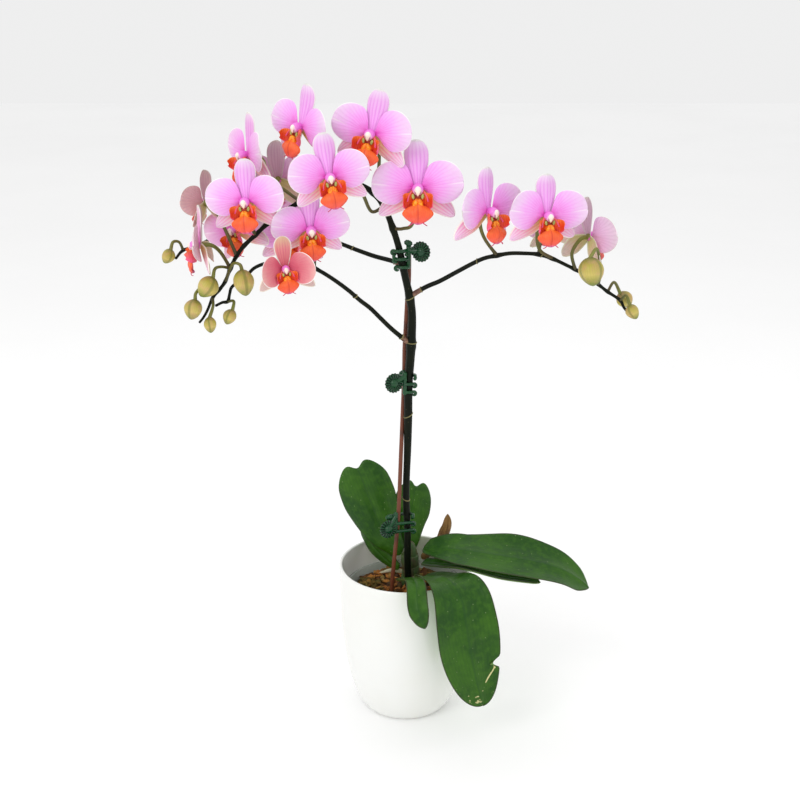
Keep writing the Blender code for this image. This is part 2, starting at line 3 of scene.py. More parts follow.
import bmesh
import bpy
import numpy as np
from mathutils import Matrix, Vector


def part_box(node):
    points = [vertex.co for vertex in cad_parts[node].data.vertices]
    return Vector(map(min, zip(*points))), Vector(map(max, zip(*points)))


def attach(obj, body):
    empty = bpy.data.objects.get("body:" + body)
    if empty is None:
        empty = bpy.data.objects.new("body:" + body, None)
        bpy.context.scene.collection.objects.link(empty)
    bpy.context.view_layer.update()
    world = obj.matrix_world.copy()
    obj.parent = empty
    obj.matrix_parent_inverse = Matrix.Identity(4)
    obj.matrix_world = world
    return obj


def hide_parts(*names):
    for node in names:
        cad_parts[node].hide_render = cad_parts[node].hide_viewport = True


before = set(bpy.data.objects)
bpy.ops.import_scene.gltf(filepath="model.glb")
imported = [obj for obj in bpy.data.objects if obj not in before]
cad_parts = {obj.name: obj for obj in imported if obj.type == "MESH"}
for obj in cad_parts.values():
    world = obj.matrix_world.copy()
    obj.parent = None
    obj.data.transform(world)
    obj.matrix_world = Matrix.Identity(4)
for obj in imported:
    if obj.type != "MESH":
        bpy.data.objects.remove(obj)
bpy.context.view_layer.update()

bl_info = {
    "name": "Potted moth orchid",
    "version": (1, 0, 0),
    "blender": (4, 5, 0),
    "location": "3D View > Sidebar > Orchid",
    "description": "Flowers, stems, leaves, clips and pots of a moth orchid around its packed solids",
    "category": "Add Mesh",
}

MM = 0.001
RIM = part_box("pot")[1].z              # the pot's rim, from which the plant's heights are measured
FOOT_RADIUS = 40 * MM
SHOULDER_RADIUS = 66 * MM
POT_WALL = 3 * MM
POT_FLOOR = 3.6 * MM
MEDIUM_DROP = 32 * MM                 # from the rim down to the bark
SPIKE_RADIUS = 3.5 * MM
BRANCH_RADIUS = 2.0 * MM
PEDICEL_RADIUS = 1.8 * MM
STAKE_RADIUS = 2.0 * MM
CLIP_WIRE = 1.4 * MM
CLIP_GAP = 0.4 * MM
HUB = 3.2 * MM
WELD = 1e-6
BRANCHES = ("right", "back_left", "low_left")
ARCH_POINT = 12                       # the main stem's point where its arch begins
YOUNG_FLOWER, YOUNG_CUP = 7, 0.46     # the flower that is still opening, and how far it is cupped
TORN_LEAF, DRY_LEAF = "leaf_front_right", "leaf_withered"
CHIPS, FIBRES = 420, 26
SPAN_STEPS = 8                        # points along each span of a stem

# ---------------------------------------------------------------- the plant's plan

# Stems: points in mm across, back and above the pot's rim
STEMS = {
    "main": [
        (3, 2, -27), (2, 1, 2), (2, 2, 35), (1, 3, 56), (0.5, 4, 77), (1.8, 4, 119), (2.3, 4, 155),
        (2.5, 4, 186), (4.4, 3, 215), (5.8, 2, 250), (4.2, 1, 269), (-1.2, 0, 294), (-6, 0, 317),
        (-12, 0, 337), (-20, 0, 357), (-30, -2, 370), (-43, -6, 378), (-59, -10, 379), (-75, -15, 375),
        (-94, -20, 365), (-108, -24, 357), (-123, -28, 347), (-134, -30, 337), (-144, -32, 328),
        (-151, -33, 319), (-157, -34, 308), (-162, -35, 296), (-168, -35, 288), (-174, -35, 281),
        (-179, -35, 270), (-183, -35, 263), (-187, -35, 258)],
    "right": [
        (2, 1, 272), (18, 0, 282), (31, -1, 288), (45, -2, 296), (59, -3, 304), (71, -4, 310),
        (83, -5, 313), (95, -5, 315), (108, -5, 315), (121, -5, 314), (134, -5, 310), (147, -5, 304),
        (155, -5, 300), (166, -5, 294), (177, -5, 286), (186, -5, 279), (198, -5, 271), (202, -5, 264),
        (209, -5, 256)],
    "back_left": [
        (-3, 0, 303), (-13, 4, 306), (-29, 10, 309), (-44, 16, 313), (-54, 20, 316), (-71, 27, 321),
        (-90, 34, 326), (-108, 40, 329), (-128, 44, 330), (-148, 46, 328), (-167, 46, 324),
        (-184, 42, 319), (-196, 34, 314), (-208, 22, 312), (-214, 14, 306)],
    "low_left": [
        (5, 3, 226), (-7, -2, 237), (-15, -5, 245), (-24, -8, 255), (-33, -11, 265), (-42, -14, 273),
        (-51, -17, 282), (-60, -20, 290), (-69, -22, 297), (-76, -24, 302), (-83, -25, 306),
        (-95, -27, 311), (-109, -28, 312), (-120, -28, 312), (-129, -28, 310), (-137, -27, 306),
        (-144, -26, 299), (-152, -25, 293), (-158, -25, 288), (-160, -25, 282), (-162, -25, 275),
        (-167, -25, 274), (-173, -25, 271)],
}

# Flowers: number, centre, (yaw, pitch, roll), size, stem, its point, the pedicel's points, ripeness
FLOWERS = [
    (1, (-138.5, -52, 370.5), (-8, 0, -3), 1.0, "main", 22, [(-138, -38, 352)], 1.0),
    (2, (-65.5, -65, 393.5), (13, 0, -7), 0.99, "main", 14,
     [(-31, -8, 354), (-38, -22, 371), (-44, -36, 384)], 1.0),
    (3, (-92, -20, 430), (-44, 0, 8), 1.0, "main", 18, [(-79, -8, 400)], 1.0),
    (4, (-30, -36, 426), (-18, 0, 9), 1.05, "main", 15, [(-25, -6, 388), (-24, -16, 408)], 1.0),
    (5, (10, -34, 379), (0, 0, 0), 1.14, "main", 13, [(-3, -6, 338), (6, -14, 345)], 1.0),
    (6, (-84.5, -40, 344), (13, -9, -2), 1.0, "low_left", 10, [(-82, -20, 324)], 1.0),
    (7, (-105.5, -62, 314), (13, 0, -6), 0.80, "low_left", 12, [(-107, -38, 309)], 0.0),
    (8, (-142, 0, 403), (-60, 0, 0), 1.0, "main", 21, [(-124, -12, 372), (-127, 2, 394)], 0.9),
    (9, (-184, 13, 358), (-125, 0, 0), 0.80, "main", 24, [(-162, -24, 342)], 0.35),
    (10, (-183, -34, 329), (-84, -5, 0), 0.95, "main", 25, [(-166, -28, 321)], 0.6),
    (11, (-156, 8, 334), (-32, 0, -22), 0.95, "main", 23,
     [(-132, -24, 338), (-129, -2, 340), (-136, 14, 334)], 0.8),
    (12, (-108, 26, 324), (-10, 0, 0), 0.95, "back_left", 7, [], 1.0),
    (13, (-117, 22, 378), (160, 0, 0), 0.95, "main", 19, [(-108, -6, 372)], 0.9),
    (14, (73, -26, 357), (42, 0, 0), 1.05, "right", 6, [(72, -8, 328), (67, -12, 341)], 1.0),
    (15, (124, -34, 355), (15, 0, 0), 1.0, "right", 10, [(121, -9, 320), (118, -15, 340)], 1.0),
    (16, (166, -8, 331), (121, 0, 0), 0.95, "right", 12, [(151, -9, 316)], 0.9),
    (17, (135, 32, 331), (200, 0, 0), 0.72, "right", 9, [(125, 8, 323)], 0.8),
]

# Buds: number, centre, direction of the tip, length and width in mm, stem, its point, pedicel's points
BUDS = [
    (1, (-221, 14, 308), (-0.4, 0.0, -0.9), 15, 12, "back_left", 13, [(-211, 20, 320), (-216, 16, 321)]),
    (2, (-176, -48, 294), (-0.5, -0.2, -0.8), 21, 18, "main", 25, [(-164, -42, 311), (-169, -46, 310)]),
    (3, (-190, -46, 273), (-0.2, -0.2, -0.95), 19, 16, "main", 27, [(-181, -37, 292), (-187, -45, 288)]),
    (4, (-144, -48, 298), (0.1, -0.2, -0.95), 24, 18, "main", 26, [(-154, -42, 313), (-147, -46, 314)]),
    (5, (-176, -43, 258), (0.1, -0.1, -0.98), 15, 11, "main", 28, [(-173, -42, 275)]),
    (6, (-160, -31, 262), (-0.4, -0.2, -0.9), 15, 12, "low_left", 20, [(-156, -29, 276)]),
    (7, (163, -48, 308), (0.1, -0.2, -0.95), 26, 22, "right", 14, [(176, -22, 302), (169, -38, 326)]),
    (8, (205, 10, 268), (0.6, 0.2, -0.75), 17, 15, "right", 15, [(193, 3, 286)]),
    (9, (208, -17, 263), (0.4, -0.2, -0.9), 15, 12, "right", 16, [(202, -12, 277)]),
]

# Leaves: name, midrib, direction across, half width, where widest, channel, half width at the base,
# depth of the notch at the tip, wave of the margin in mm
LEAVES = [
    ("leaf_back_left", [(-5, 21, -2), (-23, 28, 22), (-34, 32, 48), (-43, 36, 72), (-51, 42, 91)],
     (0.94, 0.1, 0.34), 28, 0.62, 0.22, 7, 0.08, 1.6),
    ("leaf_back", [(5, 30, -2), (4, 38, 24), (7, 43, 44), (12, 49, 68)],
     (1, 0, 0.12), 20.5, 0.6, 0.35, 6, 0.08, 1.0),
    ("leaf_left_low", [(-7, 24, -20), (-28, 34, -5), (-36, 40, 5), (-45, 47, 18)],
     (0.6, -0.3, 0.7), 11, 0.6, 0.3, 5, 0.0, 0.6),
    ("leaf_right", [(18, 14, 8), (48, -8, 18), (85, -18, 17), (119, -22, 13), (150, -24, 5), (169, -25, -6),
                    (180, -26, -15)],
     (0, 1, 0.28), 30, 0.44, 0.12, 8, 0.03, 1.4),
    ("leaf_right_low", [(17, 10, -6), (36, -8, 1), (58, -22, 5), (92, -30, -1), (121, -35, -3),
                        (131, -38, -3)],
     (0.1, 1, 0.1), 9, 0.5, 0.45, 6, 0.0, 0.5),
    ("leaf_front_right", [(14, 5, -22), (26, -20, -6), (42, -50, 5), (52, -68, -3), (57, -79, -26),
                          (62, -81, -56), (68, -80, -86), (75, -77, -116)],
     (0.95, 0.3, 0.0), 31, 0.62, 0.10, 8, 0.0, 1.4),
    ("leaf_front", [(-7, 2, -22), (2, -25, -6), (9, -62, 9), (11, -84, -4), (14, -88, -14), (18, -89, -25)],
     (0.98, 0.15, 0.0), 10, 0.6, 0.12, 4, 0.0, 0.4),
    ("leaf_withered", [(17, 27, -10), (34, 33, 5), (42, 35, 20), (43, 37, 36)],
     (1, 0.2, 0), 6, 0.6, 0.35, 4, 0.0, 1.2),
]

# Clips: name, heights of the loops, height of the daisy head, the head's place beside the stem, its size,
# the thumb tab's place from the head, and how much the loops rise towards the front
CLIPS = [
    ("clip_top", (317, 309.5, 302), 316.5, (19.5, -5), 1.13, (-11.5, 5, 7), 0.0),
    ("clip_middle", (187, 179), 190.5, (-13.8, -10), 1.13, (8.5, 13, 6), 0.15),
    ("clip_bottom", (43, 35), 44, (-18.5, -19), 1.1, (1, 5, 10.5), 0.32),
]

# The stem's thickness, as a share of its radius, at heights above the pot's rim
STEM_HEIGHTS = (100, 150, 220, 260, 317)
STEM_SHARES = (0.97, 1.16, 1.22, 1.08, 0.90)

# Bracts of the main stem: height, and how far the ring slants, in mm
BRACTS = ((66, 1.6), (151, -2.2), (226, 0.4), (271, -1.2))

# Air roots that lie on the bark
ROOTS = [[(8, 10, -22), (10, -6, -24), (4, -22, -26), (-6, -30, -31)],
         [(0, 26, -24), (-14, 36, -27), (-26, 38, -32)]]

# The stake's centre line: in front of the stem's left side low down, behind the stem further up
STAKE_POINTS = [(-13.5, -13, -22), (-7.4, -7, 50), (-4.5, 0, 119), (-3.6, 5.5, 140), (-2.4, 9.4, 170),
                (-1.5, 9.2, 200), (-1.2, 8.6, 220), (-0.2, 7.8, 240), (1.3, 7.6, 269), (2.8, 8.0, 288),
                (3, 10, 322)]

# The stage, in metres. Lights: name, place, point aimed at, side and power in watts
LIGHTS = [("key_light", (-1.3, -1.7, 1.9), (0, 0, 0.35), 1.3, 18),
          ("fill_light", (1.7, -1.3, 1.2), (0, 0, 0.35), 1.5, 3),
          ("top_light", (0.2, 0.5, 2.2), (0, 0, 0.4), 1.4, 5)]
AIR_STRENGTH = 0.86                   # of the white surroundings
FLOOR_REACH = 6
CAMERA_PLACE = (-0.0055, -1.1276, 0.717)
CAMERA_PITCH = 19.1                   # degrees below level
LENS, SENSOR = 56.25, 36              # mm


# ---------------------------------------------------------------- sizes and colours

def shade(red, green, blue):
    """A colour as it is seen on a screen, 0 to 255, turned into the linear values that a shader takes."""
    share = np.array([red, green, blue]) / 255.0
    return tuple(np.where(share <= 0.04045, share / 12.92, ((share + 0.055) / 1.055) ** 2.4).tolist())


def colour_property(name, description, value):
    return bpy.props.FloatVectorProperty(name=name, description=description, subtype="COLOR", size=3,
                                         min=0.0, max=1.0, default=value)


class OrchidSizes(bpy.types.PropertyGroup):
    """Sizes that a maker of this orchid would change."""
    flower_span: bpy.props.FloatProperty(
        name="Flower span", description="Petal tip to petal tip of a full flower", default=72 * MM,
        min=0.05, max=0.09, unit="LENGTH")
    petal_thickness: bpy.props.FloatProperty(
        name="Petal thickness", description="Thickness of petals and sepals in their middle",
        default=0.8 * MM, min=0.0003, max=0.002, unit="LENGTH")
    leaf_thickness: bpy.props.FloatProperty(
        name="Leaf thickness", description="Thickness of a leaf at its midrib", default=2.2 * MM,
        min=0.001, max=0.004, unit="LENGTH")
    chip_size: bpy.props.FloatProperty(
        name="Bark chip", description="Length of a middling bark chip", default=9 * MM,
        min=0.004, max=0.02, unit="LENGTH")


class OrchidColours(bpy.types.PropertyGroup):
    """Colours that a maker of this orchid would change."""
    petal: colour_property("Petal", "Middle of the petals", shade(242, 172, 240))
    petal_pale: colour_property("Petal margin", "Outer part of the petals", shade(236, 208, 236))
    petal_deep: colour_property("Petal claw", "Petals next to the column", shade(238, 122, 216))
    lip: colour_property("Lip", "Middle lobe of the lip", shade(246, 98, 52))
    bud: colour_property("Bud", "Skin of the buds", shade(170, 160, 62))
    leaf: colour_property("Leaf", "Upper side of the leaves", shade(30, 72, 12))
    stem: colour_property("Stem", "Skin of the old stems", shade(11, 17, 7))
    glaze: colour_property("Glaze", "Glaze of the outer pot", shade(238, 239, 236))
    plastic: colour_property("Clip", "Plastic of the clips", shade(12, 60, 34))


# ---------------------------------------------------------------- shader building

class Graph:
    """Adds nodes to a tree and joins them; every method returns an output socket."""

    def __init__(self, tree):
        self.tree = tree
        self.colours = bpy.context.scene.orchid_colours

    def add(self, kind, inputs=None, **settings):
        node = self.tree.nodes.new(kind)
        for key, value in settings.items():
            setattr(node, key, value)
        for key, value in (inputs or {}).items():
            self.feed(node.inputs[key], value)
        return node

    def feed(self, socket, value):
        if isinstance(value, bpy.types.NodeSocket):
            self.tree.links.new(value, socket)
        else:
            socket.default_value = value

    def math(self, operation, first, second):
        return self.add("ShaderNodeMath", {0: first, 1: second}, operation=operation).outputs[0]

    def times(self, first, second):
        return self.math("MULTIPLY", first, second)

    def plus(self, first, second):
        return self.math("ADD", first, second)

    def minus(self, first, second):
        return self.math("SUBTRACT", first, second)

    def mix(self, share, first, second, blend="MIX"):
        values = {0: share, 6: rgba(first), 7: rgba(second)}
        return self.add("ShaderNodeMix", values, data_type="RGBA", blend_type=blend).outputs[2]

    def sides(self, reverse, face):
        """One colour for the reverse of a blade and one for its face."""
        return self.mix(self.mark("face"), reverse, face)

    def tint(self, colour, mask, share, *tone):
        """Moves a colour towards a tone by a share of a mask."""
        return self.mix(self.times(mask, share), colour, shade(*tone))

    def ramp(self, value, stops):
        """A blend through stops, each a place with a colour or with the three numbers of a tone."""
        node = self.add("ShaderNodeValToRGB", {0: value})
        band = node.color_ramp
        while len(band.elements) < len(stops):
            band.elements.new(0.5)
        for element, (place, *colour) in zip(band.elements, stops):
            element.position = place
            element.color = rgba(shade(*colour) if len(colour) == 3 else colour[0])
        return node.outputs[0]

    def step(self, value, low, high, bottom=0.0, top=1.0):
        node = self.add("ShaderNodeMapRange", {0: value, 1: low, 2: high, 3: bottom, 4: top},
                        interpolation_type="SMOOTHSTEP")
        return node.outputs[0]

    def noise(self, vector, scale, detail=2.0, rough=0.5):
        inputs = {"Vector": vector, "Scale": scale, "Detail": detail, "Roughness": rough}
        return self.add("ShaderNodeTexNoise", inputs).outputs[0]

    def place(self):
        return self.add("ShaderNodeTexCoord").outputs["Object"]

    def uv(self, side):
        place = self.add("ShaderNodeTexCoord").outputs["UV"]
        return self.add("ShaderNodeSeparateXYZ", {0: place}).outputs[side]

    @property
    def across(self):
        return self.uv(0)

    @property
    def along(self):
        return self.uv(1)

    def midline(self, edge, core):
        """A line down the middle of a surface, where across is a half."""
        middle = self.minus(self.across, 0.5)
        return self.step(self.math("ABSOLUTE", middle, 0.0), edge, core)

    def mark(self, name):
        return self.add("ShaderNodeAttribute", attribute_name=name).outputs["Fac"]

    def vector(self, x, y, z=0.0):
        return self.add("ShaderNodeCombineXYZ", {0: x, 1: y, 2: z}).outputs[0]

    def bump(self, height, strength, distance):
        inputs = {"Height": height, "Strength": strength, "Distance": distance}
        return self.add("ShaderNodeBump", inputs).outputs[0]

    def lines(self, count, wander, sharpness):
        values = {"Across": self.across, "Along": self.along, "Count": count, "Wander": wander}
        return self.group(veins(), Sharpness=sharpness, **values)

    def rings(self, count, sharpness):
        """Lines that run round a tube."""
        values = {"Across": self.along, "Along": self.across, "Count": count, "Wander": 0.0}
        return self.group(veins(), Sharpness=sharpness, **values)

    def cloud(self, scale, low=0.35, high=0.65):
        return self.group(mottle(), Vector=self.place(), Scale=scale, Low=low, High=high)

    def dots(self, scale, size, share):
        return self.group(flecks(), Vector=self.place(), Scale=scale, Size=size, Share=share)

    def group(self, tree, **values):
        node = self.tree.nodes.new("ShaderNodeGroup")
        node.node_tree = tree
        for key, value in values.items():
            self.feed(node.inputs[key], value)
        return node.outputs[0]

    def surface(self, colour, roughness, relief=None, **values):
        """Sets or links the shader's sockets: relief is a height, a strength and a depth for a bump, and the
        other sockets go by their names, with spaces written as underscores."""
        values.update(Base_Color=colour, Roughness=roughness)
        if relief:
            values["Normal"] = self.bump(*relief)
        for key, value in values.items():
            socket = self.tree.nodes["Principled BSDF"].inputs[key.replace("_", " ")]
            self.feed(socket, rgba(value) if socket.type == "RGBA" else value)


def rgba(colour):
    """A colour of three numbers with full opacity; sockets and whole colours pass as they are."""
    if isinstance(colour, bpy.types.NodeSocket) or len(colour) == 4:
        return colour
    return (*colour, 1.0)


def effect(name, *inputs):
    """Turns a function that builds a mask into one that gives its node group, made once."""
    def wrap(make):
        def made():
            found = bpy.data.node_groups.get(name)
            if found:
                return found
            tree = bpy.data.node_groups.new(name, "ShaderNodeTree")
            for label in inputs:
                kind = "NodeSocketVector" if label == "Vector" else "NodeSocketFloat"
                tree.interface.new_socket(name=label, in_out="INPUT", socket_type=kind)
            tree.interface.new_socket(name="Mask", in_out="OUTPUT", socket_type="NodeSocketFloat")
            given = tree.nodes.new("NodeGroupInput").outputs
            sink = tree.nodes.new("NodeGroupOutput")
            tree.links.new(make(Graph(tree), given), sink.inputs[0])
            return tree
        return made
    return wrap


@effect("Veins", "Across", "Along", "Count", "Wander", "Sharpness")
def veins(graph, given):
    """Fine lines that run along a tepal or leaf: a wave across it, bent by noise and sharpened to lines."""
    along = graph.vector(graph.times(given["Across"], 3.0), given["Along"])
    bend = graph.times(graph.minus(graph.noise(along, 2.5), 0.5), given["Wander"])
    turn = graph.times(graph.plus(given["Across"], bend), given["Count"])
    wave = graph.math("SINE", graph.times(turn, 2 * math.pi), 0.0)
    return graph.math("POWER", graph.plus(graph.times(wave, 0.5), 0.5), given["Sharpness"])


@effect("Mottle", "Vector", "Scale", "Low", "High")
def mottle(graph, given):
    """Soft, uneven clouds of tone: noise stretched between a low and a high level."""
    return graph.step(graph.noise(given["Vector"], given["Scale"], 3.0, 0.55), given["Low"], given["High"])


@effect("Flecks", "Vector", "Scale", "Size", "Share")
def flecks(graph, given):
    """Scattered small dots: some of the cells of a Voronoi pattern, shown only near their centres."""
    cells = graph.add("ShaderNodeTexVoronoi", {"Vector": given["Vector"], "Scale": given["Scale"]})
    dot = graph.step(cells.outputs["Distance"], given["Size"], graph.times(given["Size"], 0.5))
    tone = graph.add("ShaderNodeSeparateColor", {0: cells.outputs["Color"]}).outputs[0]
    return graph.times(dot, graph.math("LESS_THAN", tone, given["Share"]))


def finish(name):
    """Turns a function that shades a material into one that gives this material, made once."""
    def wrap(make):
        def made():
            found = bpy.data.materials.get(name)
            if found:
                return found
            material = bpy.data.materials.new(name)
            material.use_nodes = True
            make(Graph(material.node_tree))
            return material
        return made
    return wrap


# ---------------------------------------------------------------- finishes of the flowers

def tissue(graph, colour, height):
    """Petal tissue: satin with a faint sheen, and fine ribs in relief."""
    graph.surface(colour, 0.52, (height, 0.35, 0.0004), Sheen_Weight=0.12, Sheen_Roughness=0.4,
                  Specular_IOR_Level=0.3)


def aged(graph, fresh, young):
    """Mixes the colours of a flower just opened with those of a full one by its ripeness mark."""
    return graph.mix(graph.mark("ripe"), young, fresh)


@finish("petal_tissue")
def petal_finish(graph):
    """Deep pink at the claw, lilac-pink in the middle, paler outwards, with a white margin and streak."""
    petal, pale, deep = graph.colours.petal, graph.colours.petal_pale, graph.colours.petal_deep
    cloud = graph.cloud(95.0)
    reach = graph.plus(graph.along, graph.times(graph.minus(cloud, 0.5), 0.10))
    fresh = graph.ramp(reach, [(0.0, 222, 70, 186), (0.13, deep), (0.30, 243, 154, 234), (0.52, petal),
                               (0.78, 238, 194, 238), (1.0, pale)])
    young = graph.ramp(reach, [(0.0, 190, 60, 90), (0.4, 214, 106, 122), (0.8, 226, 142, 148),
                               (1.0, 232, 176, 172)])
    colour = aged(graph, fresh, young)
    lines = graph.lines(26.0, 0.03, 2.5)
    strength = graph.times(lines, graph.step(graph.along, 1.0, 0.1, 0.05, 0.5))
    colour = graph.mix(strength, colour, graph.mix(1.0, colour, shade(250, 190, 246), "MULTIPLY"))
    streak = graph.times(graph.midline(0.010, 0.001), graph.step(graph.along, 0.5, 0.85))
    colour = graph.mix(graph.times(streak, graph.times(graph.mark("ripe"), 0.5)), colour,
                       shade(252, 244, 250))
    margin = graph.step(graph.mark("margin"), 0.0012, 0.0003)
    colour = graph.tint(colour, margin, 0.9, 252, 250, 248)
    reverse = aged(graph, graph.mix(0.55, fresh, shade(226, 206, 222)),
                   graph.mix(0.5, young, shade(214, 200, 160)))
    reverse = graph.tint(reverse, lines, 0.18, 190, 150, 180)
    reverse = graph.tint(reverse, margin, 0.6, 214, 216, 196)
    tissue(graph, graph.sides(reverse, colour), graph.plus(lines, graph.times(cloud, 0.5)))


@finish("dorsal_tissue")
def dorsal_finish(graph):
    """The upper sepal: lilac-pink with darker stripes along it and a whitish, faintly green tip margin."""
    petal, pale = graph.colours.petal, graph.colours.petal_pale
    fresh = graph.ramp(graph.along, [(0.0, 244, 160, 236), (0.35, petal), (0.75, 234, 180, 232), (0.93, pale),
                                     (1.0, 226, 232, 218)])
    young = graph.ramp(graph.along, [(0.0, 202, 92, 104), (0.6, 222, 136, 136), (1.0, 218, 186, 150)])
    lines = graph.lines(6.5, 0.05, 2.0)
    fine = graph.lines(21.0, 0.04, 2.0)
    colour = aged(graph, fresh, young)
    share = graph.times(lines, graph.step(graph.along, 1.0, 0.6, 0.1, 0.6))
    colour = graph.mix(share, colour, graph.mix(1.0, colour, shade(240, 190, 240), "MULTIPLY"))
    margin = graph.step(graph.mark("margin"), 0.0013, 0.0003)
    colour = graph.tint(colour, margin, 0.85, 238, 242, 232)
    reverse = graph.mix(0.5, graph.mix(1.0, colour, shade(232, 232, 226), "MULTIPLY"), shade(206, 198, 190))
    reverse = graph.tint(reverse, lines, 0.3, 186, 140, 168)
    tissue(graph, graph.sides(reverse, colour), graph.plus(lines, graph.times(fine, 0.5)))


@finish("lateral_tissue")
def lateral_finish(graph):
    """The lower sepals: olive-yellow base, salmon and pink streaks, cream margins, lilac tips."""
    base = graph.ramp(graph.along, [(0.0, 196, 178, 78), (0.22, 214, 190, 110), (0.42, 234, 190, 170),
                                    (0.7, 240, 198, 216), (1.0, 240, 216, 238)])
    lines = graph.lines(6.0, 0.10, 1.6)
    pinks = graph.ramp(graph.along, [(0.0, 196, 130, 70), (0.3, 232, 128, 120), (0.65, 242, 138, 190),
                                     (1.0, 236, 170, 226)])
    colour = graph.mix(graph.times(lines, graph.step(graph.along, 0.05, 0.4, 0.2, 0.85)), base, pinks)
    upper = graph.times(graph.step(graph.across, 0.55, 0.9), graph.step(graph.along, 0.75, 0.25))
    colour = graph.tint(colour, upper, 0.75, 204, 186, 84)
    green = graph.mix(0.45, colour, shade(196, 190, 120))
    colour = aged(graph, colour, green)
    margin = graph.step(graph.mark("margin"), 0.0016, 0.0004)
    colour = graph.tint(colour, margin, 0.85, 250, 246, 230)
    reverse = graph.mix(0.55, colour, shade(190, 192, 140))
    tissue(graph, graph.sides(reverse, colour), lines)


@finish("column_tissue")
def column_finish(graph):
    """Magenta column with a paler rim, maroon below the cap; the along value runs from base to cap."""
    colour = graph.ramp(graph.along, [(0.0, 222, 110, 190), (0.35, 232, 110, 212), (0.8, 236, 134, 220),
                                      (0.9, 244, 196, 232), (1.0, 130, 20, 40)])
    below = graph.step(graph.across, 0.72, 0.95)
    colour = graph.tint(colour, below, 0.85, 124, 20, 34)
    soft = graph.noise(graph.place(), 900.0)
    graph.surface(colour, 0.38, (soft, 0.2, 0.0003))


@finish("anther_cap")
def cap_finish(graph):
    """The anther cap: waxy cream, warmer towards its beak."""
    colour = graph.ramp(graph.along, [(0.0, 252, 240, 232), (0.55, 250, 232, 214), (0.85, 240, 186, 160),
                                      (1.0, 206, 120, 110)])
    soft = graph.noise(graph.place(), 1200.0)
    graph.surface(colour, 0.3, (soft, 0.15, 0.0002), Coat_Weight=0.2)


@finish("lip_middle")
def lip_finish(graph):
    """The middle lobe: glowing orange that turns coral downwards, with a darker groove and a mauve tip."""
    colour = graph.ramp(graph.along, [(0.0, 250, 128, 24), (0.22, 250, 112, 40), (0.55, graph.colours.lip),
                                      (0.86, 244, 96, 84), (0.95, 222, 120, 170), (1.0, 196, 110, 190)])
    cloud = graph.cloud(260.0)
    colour = graph.tint(colour, cloud, 0.35, 238, 74, 44)
    groove = graph.midline(0.05, 0.0)
    colour = graph.tint(colour, groove, 0.6, 196, 42, 30)
    lines = graph.lines(14.0, 0.08, 2.0)
    colour = graph.tint(colour, lines, 0.18, 214, 50, 40)
    colour = graph.sides(graph.mix(0.5, colour, shade(240, 130, 140)), colour)
    graph.surface(colour, 0.42, (graph.plus(lines, cloud), 0.3, 0.0004), Specular_IOR_Level=0.4)


@finish("lip_side")
def side_lobe_finish(graph):
    """The side lobes: orange-red inside, coral-pink outside, streaked from the base."""
    inside = graph.ramp(graph.along, [(0.0, 246, 120, 30), (0.45, 236, 76, 28), (0.8, 230, 70, 50),
                                      (1.0, 236, 96, 130)])
    outside = graph.ramp(graph.along, [(0.0, 236, 120, 60), (0.5, 240, 100, 110), (1.0, 240, 92, 150)])
    lines = graph.lines(7.0, 0.1, 2.0)
    inside = graph.tint(inside, lines, 0.45, 190, 34, 22)
    colour = graph.sides(outside, inside)
    graph.surface(colour, 0.42, (lines, 0.3, 0.0004), Specular_IOR_Level=0.4)


@finish("throat_maroon")
def throat_finish(graph):
    """The hollow under the column: deep red, warmer in places."""
    cloud = graph.cloud(400.0)
    colour = graph.mix(cloud, shade(150, 30, 30), shade(204, 72, 48))
    graph.surface(colour, 0.5, (cloud, 0.2, 0.0003))


@finish("lip_callus")
def callus_finish(graph):
    """The callus between the lobes: yellow-orange with small red dots."""
    spots = graph.dots(1100.0, 0.55, 0.45)
    cloud = graph.cloud(320.0)
    colour = graph.mix(cloud, shade(255, 164, 24), shade(250, 128, 20))
    colour = graph.tint(colour, spots, 0.85, 196, 40, 16)
    graph.surface(colour, 0.32, (cloud, 0.3, 0.0004))


@finish("lip_pad")
def olive_finish(graph):
    """Small olive-green pads inside the throat."""
    cloud = graph.cloud(500.0)
    colour = graph.mix(cloud, shade(184, 186, 104), shade(158, 162, 80))
    graph.surface(colour, 0.4, (cloud, 0.2, 0.0003))


@finish("lip_tendril")
def tendril_finish(graph):
    """The two threads at the lip's tip: mauve, redder at their ends."""
    colour = graph.ramp(graph.along, [(0.0, 216, 120, 180), (0.5, 206, 60, 120), (1.0, 180, 30, 60)])
    soft = graph.noise(graph.place(), 1500.0)
    graph.surface(colour, 0.4, (soft, 0.2, 0.0002))


@finish("bud_skin")
def bud_finish(graph):
    """Buds: olive-yellow skin with pink blush, greener seams and tip, and fine ribs."""
    cloud = graph.cloud(130.0, 0.4, 0.7)
    colour = graph.ramp(graph.along, [(0.0, 96, 100, 34), (0.25, graph.colours.bud), (0.6, 204, 186, 100),
                                      (0.88, 140, 146, 58), (1.0, 92, 112, 30)])
    colour = graph.tint(colour, cloud, 0.42, 204, 146, 124)
    seam = graph.step(graph.mark("seam"), 0.35, 0.9)
    colour = graph.tint(colour, seam, 0.6, 108, 116, 42)
    lines = graph.lines(16.0, 0.05, 2.0)
    colour = graph.tint(colour, lines, 0.16, 150, 146, 66)
    graph.surface(colour, 0.42, (lines, 0.35, 0.0004), Specular_IOR_Level=0.4)


# ---------------------------------------------------------------- finishes of stems, leaves and pots

